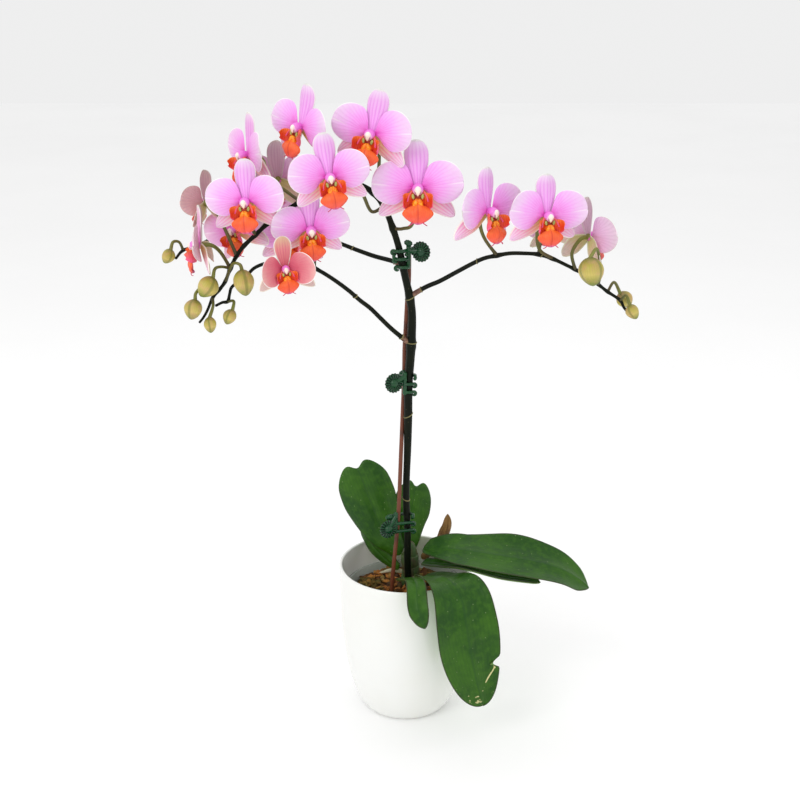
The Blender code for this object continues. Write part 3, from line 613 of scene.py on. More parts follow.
@finish("stem_skin")
def stem_finish(graph):
    """Old stem: near-black green, dull gloss, faint lengthwise streaks and pale pores."""
    cloud = graph.cloud(45.0, 0.4, 0.75)
    colour = graph.tint(graph.colours.stem, cloud, 0.5, 30, 34, 16)
    lines = graph.lines(5.0, 0.12, 2.0)
    colour = graph.tint(colour, lines, 0.3, 12, 14, 10)
    pores = graph.dots(420.0, 0.3, 0.16)
    colour = graph.tint(colour, pores, 0.4, 84, 80, 52)
    graph.surface(colour, 0.45, (graph.plus(lines, pores), 0.4, 0.0005), Specular_IOR_Level=0.12)


@finish("pedicel_skin")
def pedicel_finish(graph):
    """Flower stalks: olive green, browner towards the stem, smooth and softly glossy."""
    cloud = graph.cloud(80.0)
    colour = graph.ramp(graph.along, [(0.0, 48, 44, 22), (0.25, 84, 84, 30), (0.7, 112, 118, 42),
                                      (1.0, 134, 138, 66)])
    colour = graph.tint(colour, cloud, 0.35, 96, 72, 38)
    lines = graph.lines(4.0, 0.1, 2.0)
    graph.surface(colour, 0.38, (lines, 0.3, 0.0003), Specular_IOR_Level=0.4)


@finish("bract_skin")
def bract_finish(graph):
    """The small dry sheaths at the stem's joints: dull brown-green with a pale papery edge."""
    colour = graph.ramp(graph.along, [(0.0, 92, 84, 46), (0.5, 150, 144, 92), (1.0, 104, 92, 54)])
    lines = graph.lines(9.0, 0.05, 2.0)
    colour = graph.tint(colour, lines, 0.3, 30, 26, 18)
    graph.surface(colour, 0.62, (lines, 0.4, 0.0004))


@finish("sheath_skin")
def sheath_finish(graph):
    """A branch's dry sheath: pinkish brown, papery."""
    cloud = graph.cloud(300.0)
    colour = graph.mix(cloud, shade(84, 52, 42), shade(140, 104, 82))
    graph.surface(colour, 0.6, (cloud, 0.3, 0.0003))


@finish("leaf_skin")
def leaf_finish(graph):
    """Leathery leaf: dark green above with lighter clouds, partly mottling and partly painted reflections;
    pale flecks, scuffs, a purplish edge, lighter below.
    """
    cloud = graph.cloud(26.0)
    fine = graph.cloud(170.0, 0.4, 0.7)
    # Large and fine lighter clouds above: partly the leaf's own mottling, partly painted reflections.
    colour = graph.mix(cloud, graph.colours.leaf, shade(50, 94, 14))
    colour = graph.tint(colour, fine, 0.42, 64, 108, 24)
    lines = graph.lines(17.0, 0.03, 2.5)
    colour = graph.tint(colour, lines, 0.16, 24, 62, 18)
    middle = graph.midline(0.03, 0.0)
    colour = graph.tint(colour, middle, 0.45, 30, 70, 24)
    dots = graph.dots(330.0, 0.20, 0.13)
    colour = graph.tint(colour, dots, 0.5, 150, 170, 120)
    scuff = graph.times(graph.cloud(700.0, 0.5, 0.75), graph.cloud(40.0, 0.62, 0.8))
    colour = graph.tint(colour, scuff, 0.5, 140, 160, 116)
    blotch = graph.times(graph.noise(graph.place(), 150.0, 3.0, 0.6), graph.mark("scar"))
    stain = graph.math("MAXIMUM", graph.step(graph.mark("scar"), 0.6, 0.9), graph.step(blotch, 0.265, 0.29))
    colour = graph.mix(stain, colour, shade(206, 200, 142))
    edge = graph.step(graph.mark("margin"), 0.0014, 0.0002)
    colour = graph.tint(colour, edge, 0.7, 52, 40, 34)
    below = graph.mix(cloud, shade(96, 140, 62), shade(116, 158, 74))
    below = graph.tint(below, lines, 0.3, 84, 122, 56)
    below = graph.tint(below, edge, 0.5, 70, 60, 44)
    height = graph.plus(graph.times(lines, 0.5), fine)
    rough = graph.plus(graph.times(fine, 0.14), 0.36)
    graph.surface(graph.sides(below, colour), rough, (height, 0.25, 0.0006), Specular_IOR_Level=0.22)


@finish("dry_leaf_skin")
def dry_leaf_finish(graph):
    """The withered leaf: ochre-brown paper with darker ribs and stains."""
    cloud = graph.cloud(90.0)
    lines = graph.lines(8.0, 0.1, 1.5)
    colour = graph.mix(cloud, shade(150, 112, 56), shade(112, 78, 38))
    colour = graph.tint(colour, lines, 0.5, 82, 56, 28)
    graph.surface(colour, 0.75, (lines, 0.6, 0.0006))


@finish("crown_skin")
def crown_finish(graph):
    """The crown: overlapping green and purplish leaf bases with dry, torn edges."""
    cloud = graph.cloud(110.0)
    colour = graph.mix(cloud, shade(62, 92, 40), shade(84, 74, 48))
    lines = graph.lines(11.0, 0.06, 1.6)
    colour = graph.tint(colour, lines, 0.4, 46, 56, 30)
    graph.surface(colour, 0.55, (lines, 0.5, 0.0006))


@finish("pot_glaze_white")
def glaze_finish(graph):
    """White gloss glaze: a trace of warmth, faint waves and rare pinholes; bare clay at the foot ring."""
    place = graph.place()
    cloud = graph.cloud(14.0)
    colour = graph.mix(graph.times(cloud, 0.5), graph.colours.glaze, shade(235, 235, 229))
    holes = graph.dots(70.0, 0.035, 0.12)
    colour = graph.tint(colour, holes, 0.35, 200, 190, 170)
    bare = graph.step(graph.mark("bare"), 0.3, 0.7)
    grit = graph.noise(place, 900.0, 3.0)
    colour = graph.mix(bare, colour, graph.mix(grit, shade(226, 216, 196), shade(204, 192, 170)))
    wave = graph.noise(place, 24.0)
    rough = graph.plus(graph.times(bare, 0.6), graph.times(wave, 0.12))
    height = graph.plus(wave, graph.times(bare, grit))
    graph.surface(colour, graph.plus(rough, 0.07), (height, 0.12, 0.0008), Coat_Weight=0.3,
                  Coat_Roughness=0.05)


@finish("liner_plastic")
def liner_finish(graph):
    """Clear nursery plastic: slightly milky, with fine scratches."""
    cloud = graph.cloud(50.0)
    drawn = graph.add("ShaderNodeMapping", {"Vector": graph.place(), "Scale": (1, 1, 0.08)}).outputs[0]
    scratch = graph.noise(drawn, 800.0)
    colour = graph.mix(cloud, shade(222, 226, 220), shade(206, 212, 204))
    graph.surface(colour, graph.plus(graph.times(scratch, 0.2), 0.1), (scratch, 0.1, 0.0003),
                  Transmission_Weight=0.55, IOR=1.45)


@finish("bark_chips")
def bark_finish(graph):
    """Orchid bark: ochre, rust and dark brown chips, each of its own tone, with rough grain and some moss."""
    grain = graph.noise(graph.place(), 420.0, 4.0, 0.65)
    colour = graph.ramp(graph.mark("tone"), [(0.0, 52, 32, 14), (0.3, 116, 72, 26), (0.55, 186, 112, 36),
                               (0.75, 220, 142, 60), (0.9, 132, 122, 44), (1.0, 214, 176, 108)])
    moss = graph.cloud(52.0, 0.5, 0.6)
    green = graph.mix(grain, shade(62, 66, 12), shade(140, 130, 40))
    colour = graph.mix(graph.times(moss, 0.65), colour, green)
    colour = graph.tint(colour, grain, 0.7, 58, 36, 20)
    graph.surface(colour, 0.88, (grain, 0.8, 0.0012))


@finish("root_skin")
def root_finish(graph):
    """Roots: silver-green velvet with a pale tip."""
    cloud = graph.cloud(200.0)
    colour = graph.ramp(graph.along, [(0.0, 150, 150, 118), (0.7, 196, 192, 168), (1.0, 222, 214, 180)])
    colour = graph.tint(colour, cloud, 0.4, 134, 132, 98)
    graph.surface(colour, 0.8, (cloud, 0.4, 0.0005))


@finish("stake_bamboo")
def stake_finish(graph):
    """The stake: stained bamboo, reddish brown, with long grain."""
    stretched = graph.vector(graph.times(graph.across, 6.0), graph.times(graph.along, 3.0))
    grain = graph.noise(stretched, 6.0, 4.0, 0.6)
    colour = graph.mix(grain, shade(66, 24, 10), shade(134, 68, 36))
    joint = graph.rings(4.0, 90.0)
    colour = graph.tint(colour, joint, 0.6, 54, 30, 20)
    graph.surface(colour, 0.5, (grain, 0.5, 0.0004))


@finish("clip_plastic_green")
def clip_finish(graph):
    """Moulded clip plastic: dark green, glossy, with slight flow marks and painted shade in the grooves
    between the daisy head's ribs.
    """
    cloud = graph.cloud(150.0)
    colour = graph.tint(graph.colours.plastic, cloud, 0.5, 18, 80, 36)
    # Painted shade: the grooves between the head's ribs are darkened almost to black.
    colour = graph.tint(colour, graph.mark("groove"), 0.95, 2, 16, 8)
    fine = graph.noise(graph.place(), 900.0)
    graph.surface(colour, graph.plus(graph.times(cloud, 0.1), 0.2), (fine, 0.12, 0.0003),
                  Specular_IOR_Level=0.4)


@finish("floor_paper")
def floor_finish(graph):
    """Pale matt paper floor with the faintest cloudiness."""
    cloud = graph.cloud(1.5)
    colour = graph.mix(cloud, shade(248, 248, 248), shade(246, 246, 246))
    graph.surface(colour, 0.9, Specular_IOR_Level=0.1, Emission_Color=shade(255, 255, 255),
                  Emission_Strength=0.07)


# ---------------------------------------------------------------- surfaces

def at(point):
    """A point of the plan in metres: heights are measured from the pot's rim."""
    return np.array([point[0] * MM, point[1] * MM, RIM + point[2] * MM])


def route(points):
    return np.array([at(point) for point in points])


def joint(stem, index):
    return at(STEMS[stem][index])


def stem_line(name):
    return smooth(route(STEMS[name]), SPAN_STEPS)


def smooth(points, steps):
    """Catmull-Rom curve: each span is a cubic through its two ends with slopes from their neighbours."""
    points = np.asarray(points, float)
    ends = np.vstack([points[:1] * 2 - points[1:2], points, points[-1:] * 2 - points[-2:-1]])
    t = np.linspace(0, 1, steps, endpoint=False)[None, :, None]
    before, start, end, after = (ends[k:len(points) - 1 + k][:, None] for k in range(4))
    curve = 0.5 * (2 * start + (end - before) * t + (2 * before - 5 * start + 4 * end - after) * t ** 2
                   + (3 * start - before - 3 * end + after) * t ** 3)
    return np.vstack([curve.reshape(-1, 3), points[-1:]])


def sample(path, share):
    """Points at shares of a path's count of spans, by straight interpolation."""
    steps = np.linspace(0, 1, len(path))
    return np.stack([np.interp(share, steps, path[:, k]) for k in range(3)], axis=-1)


def grid(*values):
    """Arrays spread over their common shape and joined as the components of points."""
    return np.stack(np.broadcast_arrays(*values), axis=-1)


def full_turn(count):
    return np.linspace(0, 2 * math.pi, count, endpoint=False)


def there_and_back(turn):
    """An across value for a ring: 0 at its seam, 1 on the far side and 0 again, so no seam shows."""
    return 1 - np.abs(1 - turn / math.pi)


def run_length(points):
    """How much of a line's length lies before each of its points."""
    length = np.concatenate([[0], np.cumsum(np.linalg.norm(np.diff(points, axis=0), axis=1))])
    return length / max(length[-1], 1e-9)


def unit(vectors):
    return vectors / np.maximum(np.linalg.norm(vectors, axis=-1, keepdims=True), 1e-12)


def carried_frames(path):
    """Tangents of a path, and a side direction carried along it with the least twist."""
    tangent = unit(np.gradient(path, axis=0))
    side = np.cross(tangent[0], (0.31, -0.87, 0.38))
    sides = []
    for forward in tangent:
        side = side - forward * side.dot(forward)
        side = side / np.linalg.norm(side)
        sides.append(side)
    return tangent, np.array(sides)


class Patch:
    """One closed surface of a piece: points, a UV per point, a finish, four-cornered faces and marks. Points
    in rows of rings need no faces."""

    def __init__(self, points, uv, make_finish, faces=None, **marks):
        shape = np.shape(points)[:-1]
        self.faces = wrapped_faces(*shape) if faces is None else faces
        self.marks = {key: np.broadcast_to(value, shape).ravel() for key, value in marks.items()}
        self.points = np.array(points, float).reshape(-1, 3)
        self.uv = np.array(uv, float).reshape(-1, 2)
        self.make_finish = make_finish

    def moved(self, shift, turn=np.identity(3)):
        self.points = self.points @ np.asarray(turn).T + np.asarray(shift)
        return self


def wrapped_faces(rows, columns):
    """Faces of a grid of rows by columns whose last column joins its first."""
    i, j = np.meshgrid(np.arange(rows - 1), np.arange(columns), indexing="ij")
    k = (j + 1) % columns
    return np.stack([i * columns + j, i * columns + k, (i + 1) * columns + k, (i + 1) * columns + j],
                    axis=-1).reshape(-1, 4)


def tube(path, radius, sides, make_finish, flat=1.0, spin=None, **marks):
    """A profile carried along a path: at each point a ring of the given radius, squeezed by flat along its
    second direction. The radius falls to nothing at both ends as a quarter circle, so the tube is closed."""
    path = np.asarray(path, float)
    radius = np.broadcast_to(np.asarray(radius, float), len(path))
    tangent, side = carried_frames(path)
    if spin is not None:
        side = unit(np.broadcast_to(np.asarray(spin, float), path.shape))
        side = unit(side - tangent * (side * tangent).sum(1, keepdims=True))
    other = np.cross(tangent, side)
    cap = np.array([0.0, 0.55, 0.86, 1.0])
    shift = np.array([-1.0, -0.84, -0.5, 0.0])
    start = path[0] + tangent[0] * (shift * radius[0])[:, None] * 0.6
    end = path[-1] - tangent[-1] * (shift[::-1] * radius[-1])[:, None] * 0.6
    path = np.vstack([start, path[1:-1], end])
    side = np.vstack([np.repeat(side[:1], 4, 0), side[1:-1], np.repeat(side[-1:], 4, 0)])
    other = np.vstack([np.repeat(other[:1], 4, 0), other[1:-1], np.repeat(other[-1:], 4, 0)])
    radius = np.concatenate([radius[0] * cap, radius[1:-1], radius[-1] * cap[::-1]])
    turn = full_turn(sides)
    ring = side[:, None] * np.cos(turn)[None, :, None] + other[:, None] * (flat * np.sin(turn))[None, :, None]
    points = path[:, None] + ring * radius[:, None, None]
    uv = grid(there_and_back(turn)[None, :], run_length(path)[:, None])
    return Patch(points, uv, make_finish, **marks)


def turned(profile, sides, make_finish, centre=(0.0, 0.0), ripple=None, **marks):
    """A profile of (radius, height) points swept round a vertical axis; the outline runs from the axis at
    the bottom, up the outside and back to the axis, so the faces point outwards."""
    profile = np.asarray(profile, float)
    turn = full_turn(sides)
    radius = profile[:, :1] * (1 if ripple is None else ripple(turn)[None, :])
    points = grid(centre[0] + radius * np.cos(turn), centre[1] + radius * np.sin(turn), profile[:, 1:])
    uv = grid(there_and_back(turn)[None, :], run_length(profile)[:, None])
    marks = {key: np.reshape(value, (-1, 1)) for key, value in marks.items()}
    return Patch(points, uv, make_finish, **marks)


def ball(radii, make_finish, rows=14, sides=20, bend=None, **marks):
    """An ellipsoid of three radii: latitude rings from the lower pole to the upper one, then bent by
    bend(points of the unit ball)."""
    lift = np.linspace(-math.pi / 2, math.pi / 2, rows)[:, None]
    turn = full_turn(sides)[None, :]
    points = grid(np.cos(lift) * np.cos(turn), np.cos(lift) * np.sin(turn), np.sin(lift))
    points[0], points[-1] = (0, 0, -1), (0, 0, 1)
    uv = grid(there_and_back(turn), (lift + math.pi / 2) / math.pi)
    if bend is not None:
        points = bend(points.reshape(-1, 3)).reshape(points.shape)
    return Patch(points * np.asarray(radii), uv, make_finish, **marks)


def blade(place, rows, columns, thickness, make_finish, uv=None, margin=None, **marks):
    """A thin closed leaf of tissue round a middle surface place(t, s): t runs 0 to 1 along it and s -1 to 1
    across. Both faces lie half the thickness away along the surface's normal; the thickness falls to nothing
    at the margin, where the two faces share their points. The mark face is 1 on the side of along x across
    and 0 on the other."""
    t = (0.5 - 0.5 * np.cos(np.linspace(0, math.pi, rows)))[:, None]
    s = np.sin(np.linspace(-math.pi / 2, math.pi / 2, columns))[None, :]
    middle = place(t, s)
    down, over = np.gradient(middle, axis=0), np.gradient(middle, axis=1)
    normal = np.cross(down, over)
    size = np.linalg.norm(normal, axis=-1, keepdims=True)
    normal = np.where(size > 1e-16, normal / np.maximum(size, 1e-16), 0.0)
    half = thickness / 2 * np.sqrt(np.clip(1 - s ** 6, 0, 1)) * np.clip(np.sin(math.pi * t) * 8, 0, 1) ** 0.5
    front = middle + normal * half[..., None]
    back = middle - normal * half[..., None]
    ring = np.concatenate([front, back[:, -2:0:-1]], axis=1)
    flat_uv = grid((s + 1) / 2, t) if uv is None else uv(t, s)
    values = {}
    for key, value in dict(marks, margin=margin or (lambda t, s: 1 - np.abs(s))).items():
        values[key] = np.broadcast_to(value(t, s) if callable(value) else value, middle.shape[:2])
    fold = lambda grid: np.concatenate([grid, grid[:, -2:0:-1]], axis=1)
    face = np.concatenate([np.ones_like(middle[..., 0]), np.zeros_like(middle[:, -2:0:-1, 0])], axis=1)
    values = {key: fold(value) for key, value in values.items()}
    faces = wrapped_faces(*ring.shape[:2])[:, ::-1]
    return Patch(ring, fold(flat_uv), make_finish, faces, face=face, **values)


def make_piece(name, patches, nodes):
    """Joins patches into one object, welds their poles and seams, and gives it its place in the part."""
    starts = np.cumsum([0] + [len(patch.points) for patch in patches])
    points = np.vstack([patch.points for patch in patches])
    faces = np.vstack([patch.faces + start for patch, start in zip(patches, starts)])
    finishes = list(dict.fromkeys(patch.make_finish for patch in patches))
    kinds = np.concatenate([np.full(len(patch.faces), finishes.index(patch.make_finish))
                            for patch in patches])
    mesh = bpy.data.meshes.new(name)
    mesh.vertices.add(len(points))
    mesh.vertices.foreach_set("co", points.astype(np.float32).ravel())
    mesh.loops.add(faces.size)
    mesh.loops.foreach_set("vertex_index", faces.astype(np.int32).ravel())
    mesh.polygons.add(len(faces))
    mesh.polygons.foreach_set("loop_start", np.arange(0, faces.size, 4, dtype=np.int32))
    mesh.polygons.foreach_set("material_index", kinds.astype(np.int32))
    mesh.polygons.foreach_set("use_smooth", np.ones(len(faces), bool))
    mesh.update(calc_edges=True)
    layer = mesh.uv_layers.new(name="UVMap")
    uv = np.vstack([patch.uv for patch in patches])[faces.ravel()]
    layer.data.foreach_set("uv", uv.astype(np.float32).ravel())
    for key in sorted({key for patch in patches for key in patch.marks}):
        values = np.concatenate([patch.marks.get(key, np.zeros(len(patch.points))) for patch in patches])
        mesh.attributes.new(key, "FLOAT", "POINT").data.foreach_set("value", values.astype(np.float32))
    for make_finish in finishes:
        mesh.materials.append(make_finish())
    shape = bmesh.new()
    shape.from_mesh(mesh)
    bmesh.ops.remove_doubles(shape, verts=shape.verts, dist=WELD)
    shape.to_mesh(mesh)
    shape.free()
    piece = bpy.data.objects.new(name, mesh)
    bpy.context.scene.collection.objects.link(piece)
    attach(piece, "root")
    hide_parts(*nodes)
    return piece


# ---------------------------------------------------------------- pots, bark and crown

def pot_radius(height):
    """Outer radius of the pot: a full shoulder that closes in towards the foot."""
    share = 1 - np.clip(height / RIM, 0, 1)
    return FOOT_RADIUS + (SHOULDER_RADIUS - FOOT_RADIUS) * (1 - share ** 2.5) ** 0.6


def pot_patch():
    """Profile of the pot: recessed foot, outer wall, half-round rim, inner wall and floor."""
    lip = POT_WALL / 2
    top = RIM - lip
    rise = 1 - np.cos(np.linspace(0, math.pi / 2, 46))
    heights = 1.6 * MM + (top - 1.6 * MM) * rise
    outer = np.stack([pot_radius(heights), heights], axis=1)
    arc = np.linspace(0, math.pi, 13)[1:-1]
    edge = pot_radius(top) - lip
    rim = np.stack([edge + lip * np.cos(arc), top + lip * np.sin(arc)], axis=1)
    inner_heights = np.linspace(top, 8 * MM, 40)
    inner = np.stack([pot_radius(inner_heights) - POT_WALL, inner_heights], axis=1)
    floor = inner[-1, 0]
    foot = [(0, 1.0 * MM), (33 * MM, 1.0 * MM), (35.5 * MM, 0.3 * MM), (36.5 * MM, 0), (38.6 * MM, 0),
            (FOOT_RADIUS, 0.5 * MM), (41 * MM, 1.0 * MM)]
    base = [(floor * 0.985, 6 * MM), (floor * 0.96, 4.6 * MM), (floor * 0.9, POT_FLOOR), (0, POT_FLOOR)]
    profile = np.vstack([foot, outer, rim, inner, base])
    bare = np.zeros(len(profile))
    bare[2:6] = 1
    return turned(profile, 144, glaze_finish, bare=bare)


def liner_patch():
    """The nursery pot: a thin straight taper with a stepped rim."""
    low, (wide, _, high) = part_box("nursery_pot")[0].z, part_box("nursery_pot")[1]
    narrow = 0.92 * (pot_radius(POT_FLOOR * 2) - POT_WALL) - 1 * MM
    wall = 1.2 * MM
    rim = high - 3 * MM
    profile = [(0, low), (narrow - 1.5 * MM, low), (narrow, low + 1.5 * MM),
               (wide - 2.0 * MM, rim - 0.5 * MM), (wide - 1.0 * MM, rim), (wide, rim + 0.4 * MM),
               (wide, high - 0.5 * MM), (wide - 0.5 * MM, high), (wide - 1.0 * MM - wall, high),
               (wide - 1.4 * MM - wall, high - 0.5 * MM),
               (narrow - wall, low + wall), (0, low + wall)]
    return turned(profile, 96, liner_finish)


def bark_lump():
    """The bed of bark below the loose chips: a taper whose top is roughened by waves."""
    low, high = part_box("growing_medium")
    top = RIM - MEDIUM_DROP - 1 * MM
    wide = high.x
    shares = np.linspace(1, 0, 24)
    profile = np.vstack([[(0, low.z), (wide * 0.72, low.z), (wide * 0.985, top - 6 * MM)],
                         np.stack([wide * 0.97 * shares, np.full(24, top)], axis=1)])
    patch = turned(profile, 96, bark_finish, tone=np.full(len(profile), 0.18))
    x, y, z = patch.points.T
    wave = np.sin(x * 310 + 1.3) * np.cos(y * 270 - 0.4) + 0.6 * np.sin((x + y) * 520)
    patch.points[:, 2] = np.where(z > top - 1 * MM, z + 1.2 * MM * wave, z)
    return patch


def bark_chips(size):
    """Loose chips: rounded boxes (superellipsoids) of random length, turn and tone, strewn over the bed."""
    rng = np.random.default_rng(7)
    count, rows, sides = CHIPS, 6, 8
    lift = np.linspace(-math.pi / 2, math.pi / 2, rows)[:, None]
    turn = full_turn(sides)[None, :] + 0.3
    soft = lambda value: np.sign(value) * np.abs(value) ** 0.55
    unit_chip = grid(soft(np.cos(lift)) * soft(np.cos(turn)), soft(np.cos(lift)) * soft(np.sin(turn)),
                     soft(np.sin(lift))).reshape(-1, 3)
    unit_chip[np.abs(unit_chip[:, 2]) > 0.999, :2] = 0
    scale = size / 2 * np.stack([rng.uniform(0.6, 1.25, count), rng.uniform(0.35, 0.7, count),
                                 rng.uniform(0.14, 0.3, count)], axis=1)
    grain = rng.normal(0, 0.10, (count, len(unit_chip), 3))
    grain[:, :sides] = grain[:, :1]
    grain[:, -sides:] = grain[:, -1:]
    chips = (unit_chip[None] + grain) * scale[:, None]
    yaw = rng.uniform(0, 2 * math.pi, count)
    tip, roll = rng.normal(0, 0.35, (2, count))
    for axis, angles in enumerate((roll, tip, yaw)):
        chips = spun(chips, angles, axis)
    reach = (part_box("growing_medium")[1].x - 5 * MM) * np.sqrt(rng.uniform(0, 1, count))
    around = rng.uniform(0, 2 * math.pi, count)
    top = RIM - MEDIUM_DROP
    centre = np.stack([reach * np.cos(around), reach * np.sin(around),
                       top + rng.uniform(-1.5, 2.2, count) * MM], axis=1)
    points = (chips + centre[:, None]).reshape(-1, 3)
    first = (np.arange(count) * len(unit_chip))[:, None, None]
    faces = (wrapped_faces(rows, sides)[None] + first).reshape(-1, 4)
    tone = np.repeat(rng.uniform(0.05, 1, count) ** 1.3, len(unit_chip))
    return Patch(points, np.zeros((len(points), 2)), bark_finish, faces, tone=tone)


def spun(shapes, angles, axis):
    """Turns each of many shapes by its own angle about one axis."""
    first, second = [k for k in range(3) if k != axis]
    cosine, sine = np.cos(angles)[:, None], np.sin(angles)[:, None]
    result = shapes.copy()
    result[..., first] = shapes[..., first] * cosine - shapes[..., second] * sine
    result[..., second] = shapes[..., first] * sine + shapes[..., second] * cosine
    return result


def fibres_and_roots():
    """Coir fibres and two air roots that lie on the bark."""
    rng = np.random.default_rng(11)
    patches = []
    top = RIM - MEDIUM_DROP
    for _ in range(FIBRES):
        reach, around = 44 * MM * math.sqrt(rng.uniform(0.05, 1)), rng.uniform(0, 2 * math.pi)
        start = np.array([reach * math.cos(around), reach * math.sin(around), top + 3.2 * MM])
        heading = rng.uniform(0, 2 * math.pi)
        lengths = np.linspace(0, 1, 5)[:, None] * rng.uniform(8, 18) * MM
        curl = heading + np.linspace(0, rng.uniform(-1.8, 1.8), 5)[:, None]
        line = start + np.hstack([lengths * np.cos(curl), lengths * np.sin(curl),
                                  rng.uniform(-0.8, 1.6, (5, 1)) * MM])
        line[:, :2] *= np.minimum(1, 46 * MM / np.maximum(np.linalg.norm(line[:, :2], axis=1), 1e-6))[:, None]
        patches.append(tube(smooth(line, 4), 0.28 * MM, 6, bark_finish, tone=rng.uniform(0.2, 0.6)))
    for points in ROOTS:
        line = smooth(route(points), 8)
        patches.append(tube(line, np.linspace(2.3, 1.7, len(line)) * MM, 14, root_finish))
    return patches


def crown_patches():
    """The crown's short stem and the overlapping sheaths round it, each a flared cup."""
    low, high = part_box("crown")
    centre = ((low.x + high.x) / 2, (low.y + high.y) / 2)
    radius, span = (high.x - low.x) / 2, high.z - low.z
    shares = np.linspace(0, 1, 22)
    body = radius * np.clip(np.sin(math.pi * np.clip(shares * 0.92 + 0.06, 0, 1)) ** 0.4, 0.05, 1)
    profile = np.vstack([[(0, low.z)], np.stack([body * 0.94, low.z + span * shares], axis=1), [(0, high.z)]])
    patches = [turned(profile, 40, crown_finish, centre=centre,
                      ripple=lambda turn: 1 + 0.03 * np.cos(turn * 7))]
    for k, base in enumerate((0.18, 0.36, 0.54)):
        side = 1 if k % 2 else -1
        sheath = [(0, low.z + span * base), (radius * 0.9, low.z + span * base),
                  (radius * 1.0, low.z + span * (base + 0.1)), (radius * 0.99, low.z + span * (base + 0.24)),
                  (radius * 0.93, low.z + span * (base + 0.25)), (0, low.z + span * (base + 0.2))]
        patches.append(turned(sheath, 40, crown_finish, centre=centre,
                              ripple=lambda turn, side=side: 1 + 0.05 * side * np.cos(turn)))
    return patches


# ---------------------------------------------------------------- leaves

def leaf_patch(name, midrib, across, half_width, widest, channel, base, notch, wave, thickness):
    """A strap leaf. Its midrib is a smooth curve; the half width swells as a quarter sine from the clasping
    base to the widest place and closes as a superellipse at the tip. Across, the two halves rise from the
    midrib groove by the channel, arch back down towards the margin, and the margin waves along its length."""
    path = smooth(route(midrib), 14)
    side = unit(np.array(across, float))
    rng = np.random.default_rng(len(midrib) * 17 + int(half_width))
    phase = rng.uniform(0, 2 * math.pi, 4)
    torn = name == TORN_LEAF
    upper = -1 if midrib[-1][2] > midrib[0][2] + 20 else 1

    def width(t):
        rising = base / half_width + (1 - base / half_width) * np.sin(math.pi / 2 * np.minimum(t / widest, 1))
        closing = np.maximum(1 - (np.maximum(t - widest, 0) / (1 - widest)) ** 2.0, 0)
        closing = closing ** (0.52 if torn else 0.68)
        closing = closing if notch < 0.05 else 0.78 + 0.22 * closing
        lobes = np.where(t < widest, rising, closing)
        return half_width * MM * lobes * np.clip(t * 30, 0, 1) ** 0.5

    def place(t, s):
        s = s * upper
        t_cut = t
        if notch >= 0.05:
            t_cut = t * (1 - (0.17 * np.abs(s) ** 3.5 + notch * np.exp(-(s / 0.30) ** 2)) * t ** 3)
        bite = torn * np.exp(-((t - 0.80) / 0.018) ** 2) * np.clip((s - 0.72) / 0.28, 0, 1)
        grid = np.broadcast_to(t_cut, np.broadcast_shapes(t.shape, s.shape))
        centre = sample(path, grid)
        forward = unit(sample(path, np.minimum(grid + 0.02, 1)) - sample(path, np.maximum(grid - 0.02, 0)))
        out = unit(side - forward * (forward @ side)[..., None])
        up = np.cross(out, forward)
        wide = width(t)
        fold = np.maximum(channel, 0.6 * (1 - t * 4))
        bend = np.arctan(fold)
        reach = s * wide * np.cos(bend) * (1 - 0.4 * bite)
        swell = 0.10 * wide * np.sin(math.pi * np.abs(s)) - 0.9 * MM * np.exp(-(s / 0.07) ** 2)
        ripple = wave * MM * np.abs(s) ** 2 * (np.sin(t * 9 + phase[0])
                                               + 0.5 * np.sin(t * 17 + s * 2 + phase[1]))
        lift = -np.abs(s) * wide * np.sin(bend) + swell + ripple * np.clip(t * 4, 0, 1)
        return centre + out * reach[..., None] + up * lift[..., None]

    def margin(t, s):
        return (1 - np.abs(s)) * width(t)

    def scar(t, s):
        if not torn:
            return 0.0 * t * s
        line = np.exp(-((t - 0.80 - 0.14 * (1 - s)) / 0.007) ** 2) * np.clip((s - 0.35) / 0.1, 0, 1)
        return line + 0.45 * np.clip((t - 0.86) / 0.06, 0, 1)

    make_finish = dry_leaf_finish if name == DRY_LEAF else leaf_finish
    return blade(place, 96, 34, thickness, make_finish, margin=margin, scar=scar)


# ---------------------------------------------------------------- flowers

def facing(yaw, pitch, roll):
    """Turns a flower whose face is +Z and whose top is +Y towards its place in the spray."""
    turn = (Matrix.Rotation(math.radians(yaw), 3, "Z") @ Matrix.Rotation(math.radians(90 - pitch), 3, "X")
            @ Matrix.Rotation(math.radians(-roll), 3, "Z"))
    return np.array(turn)


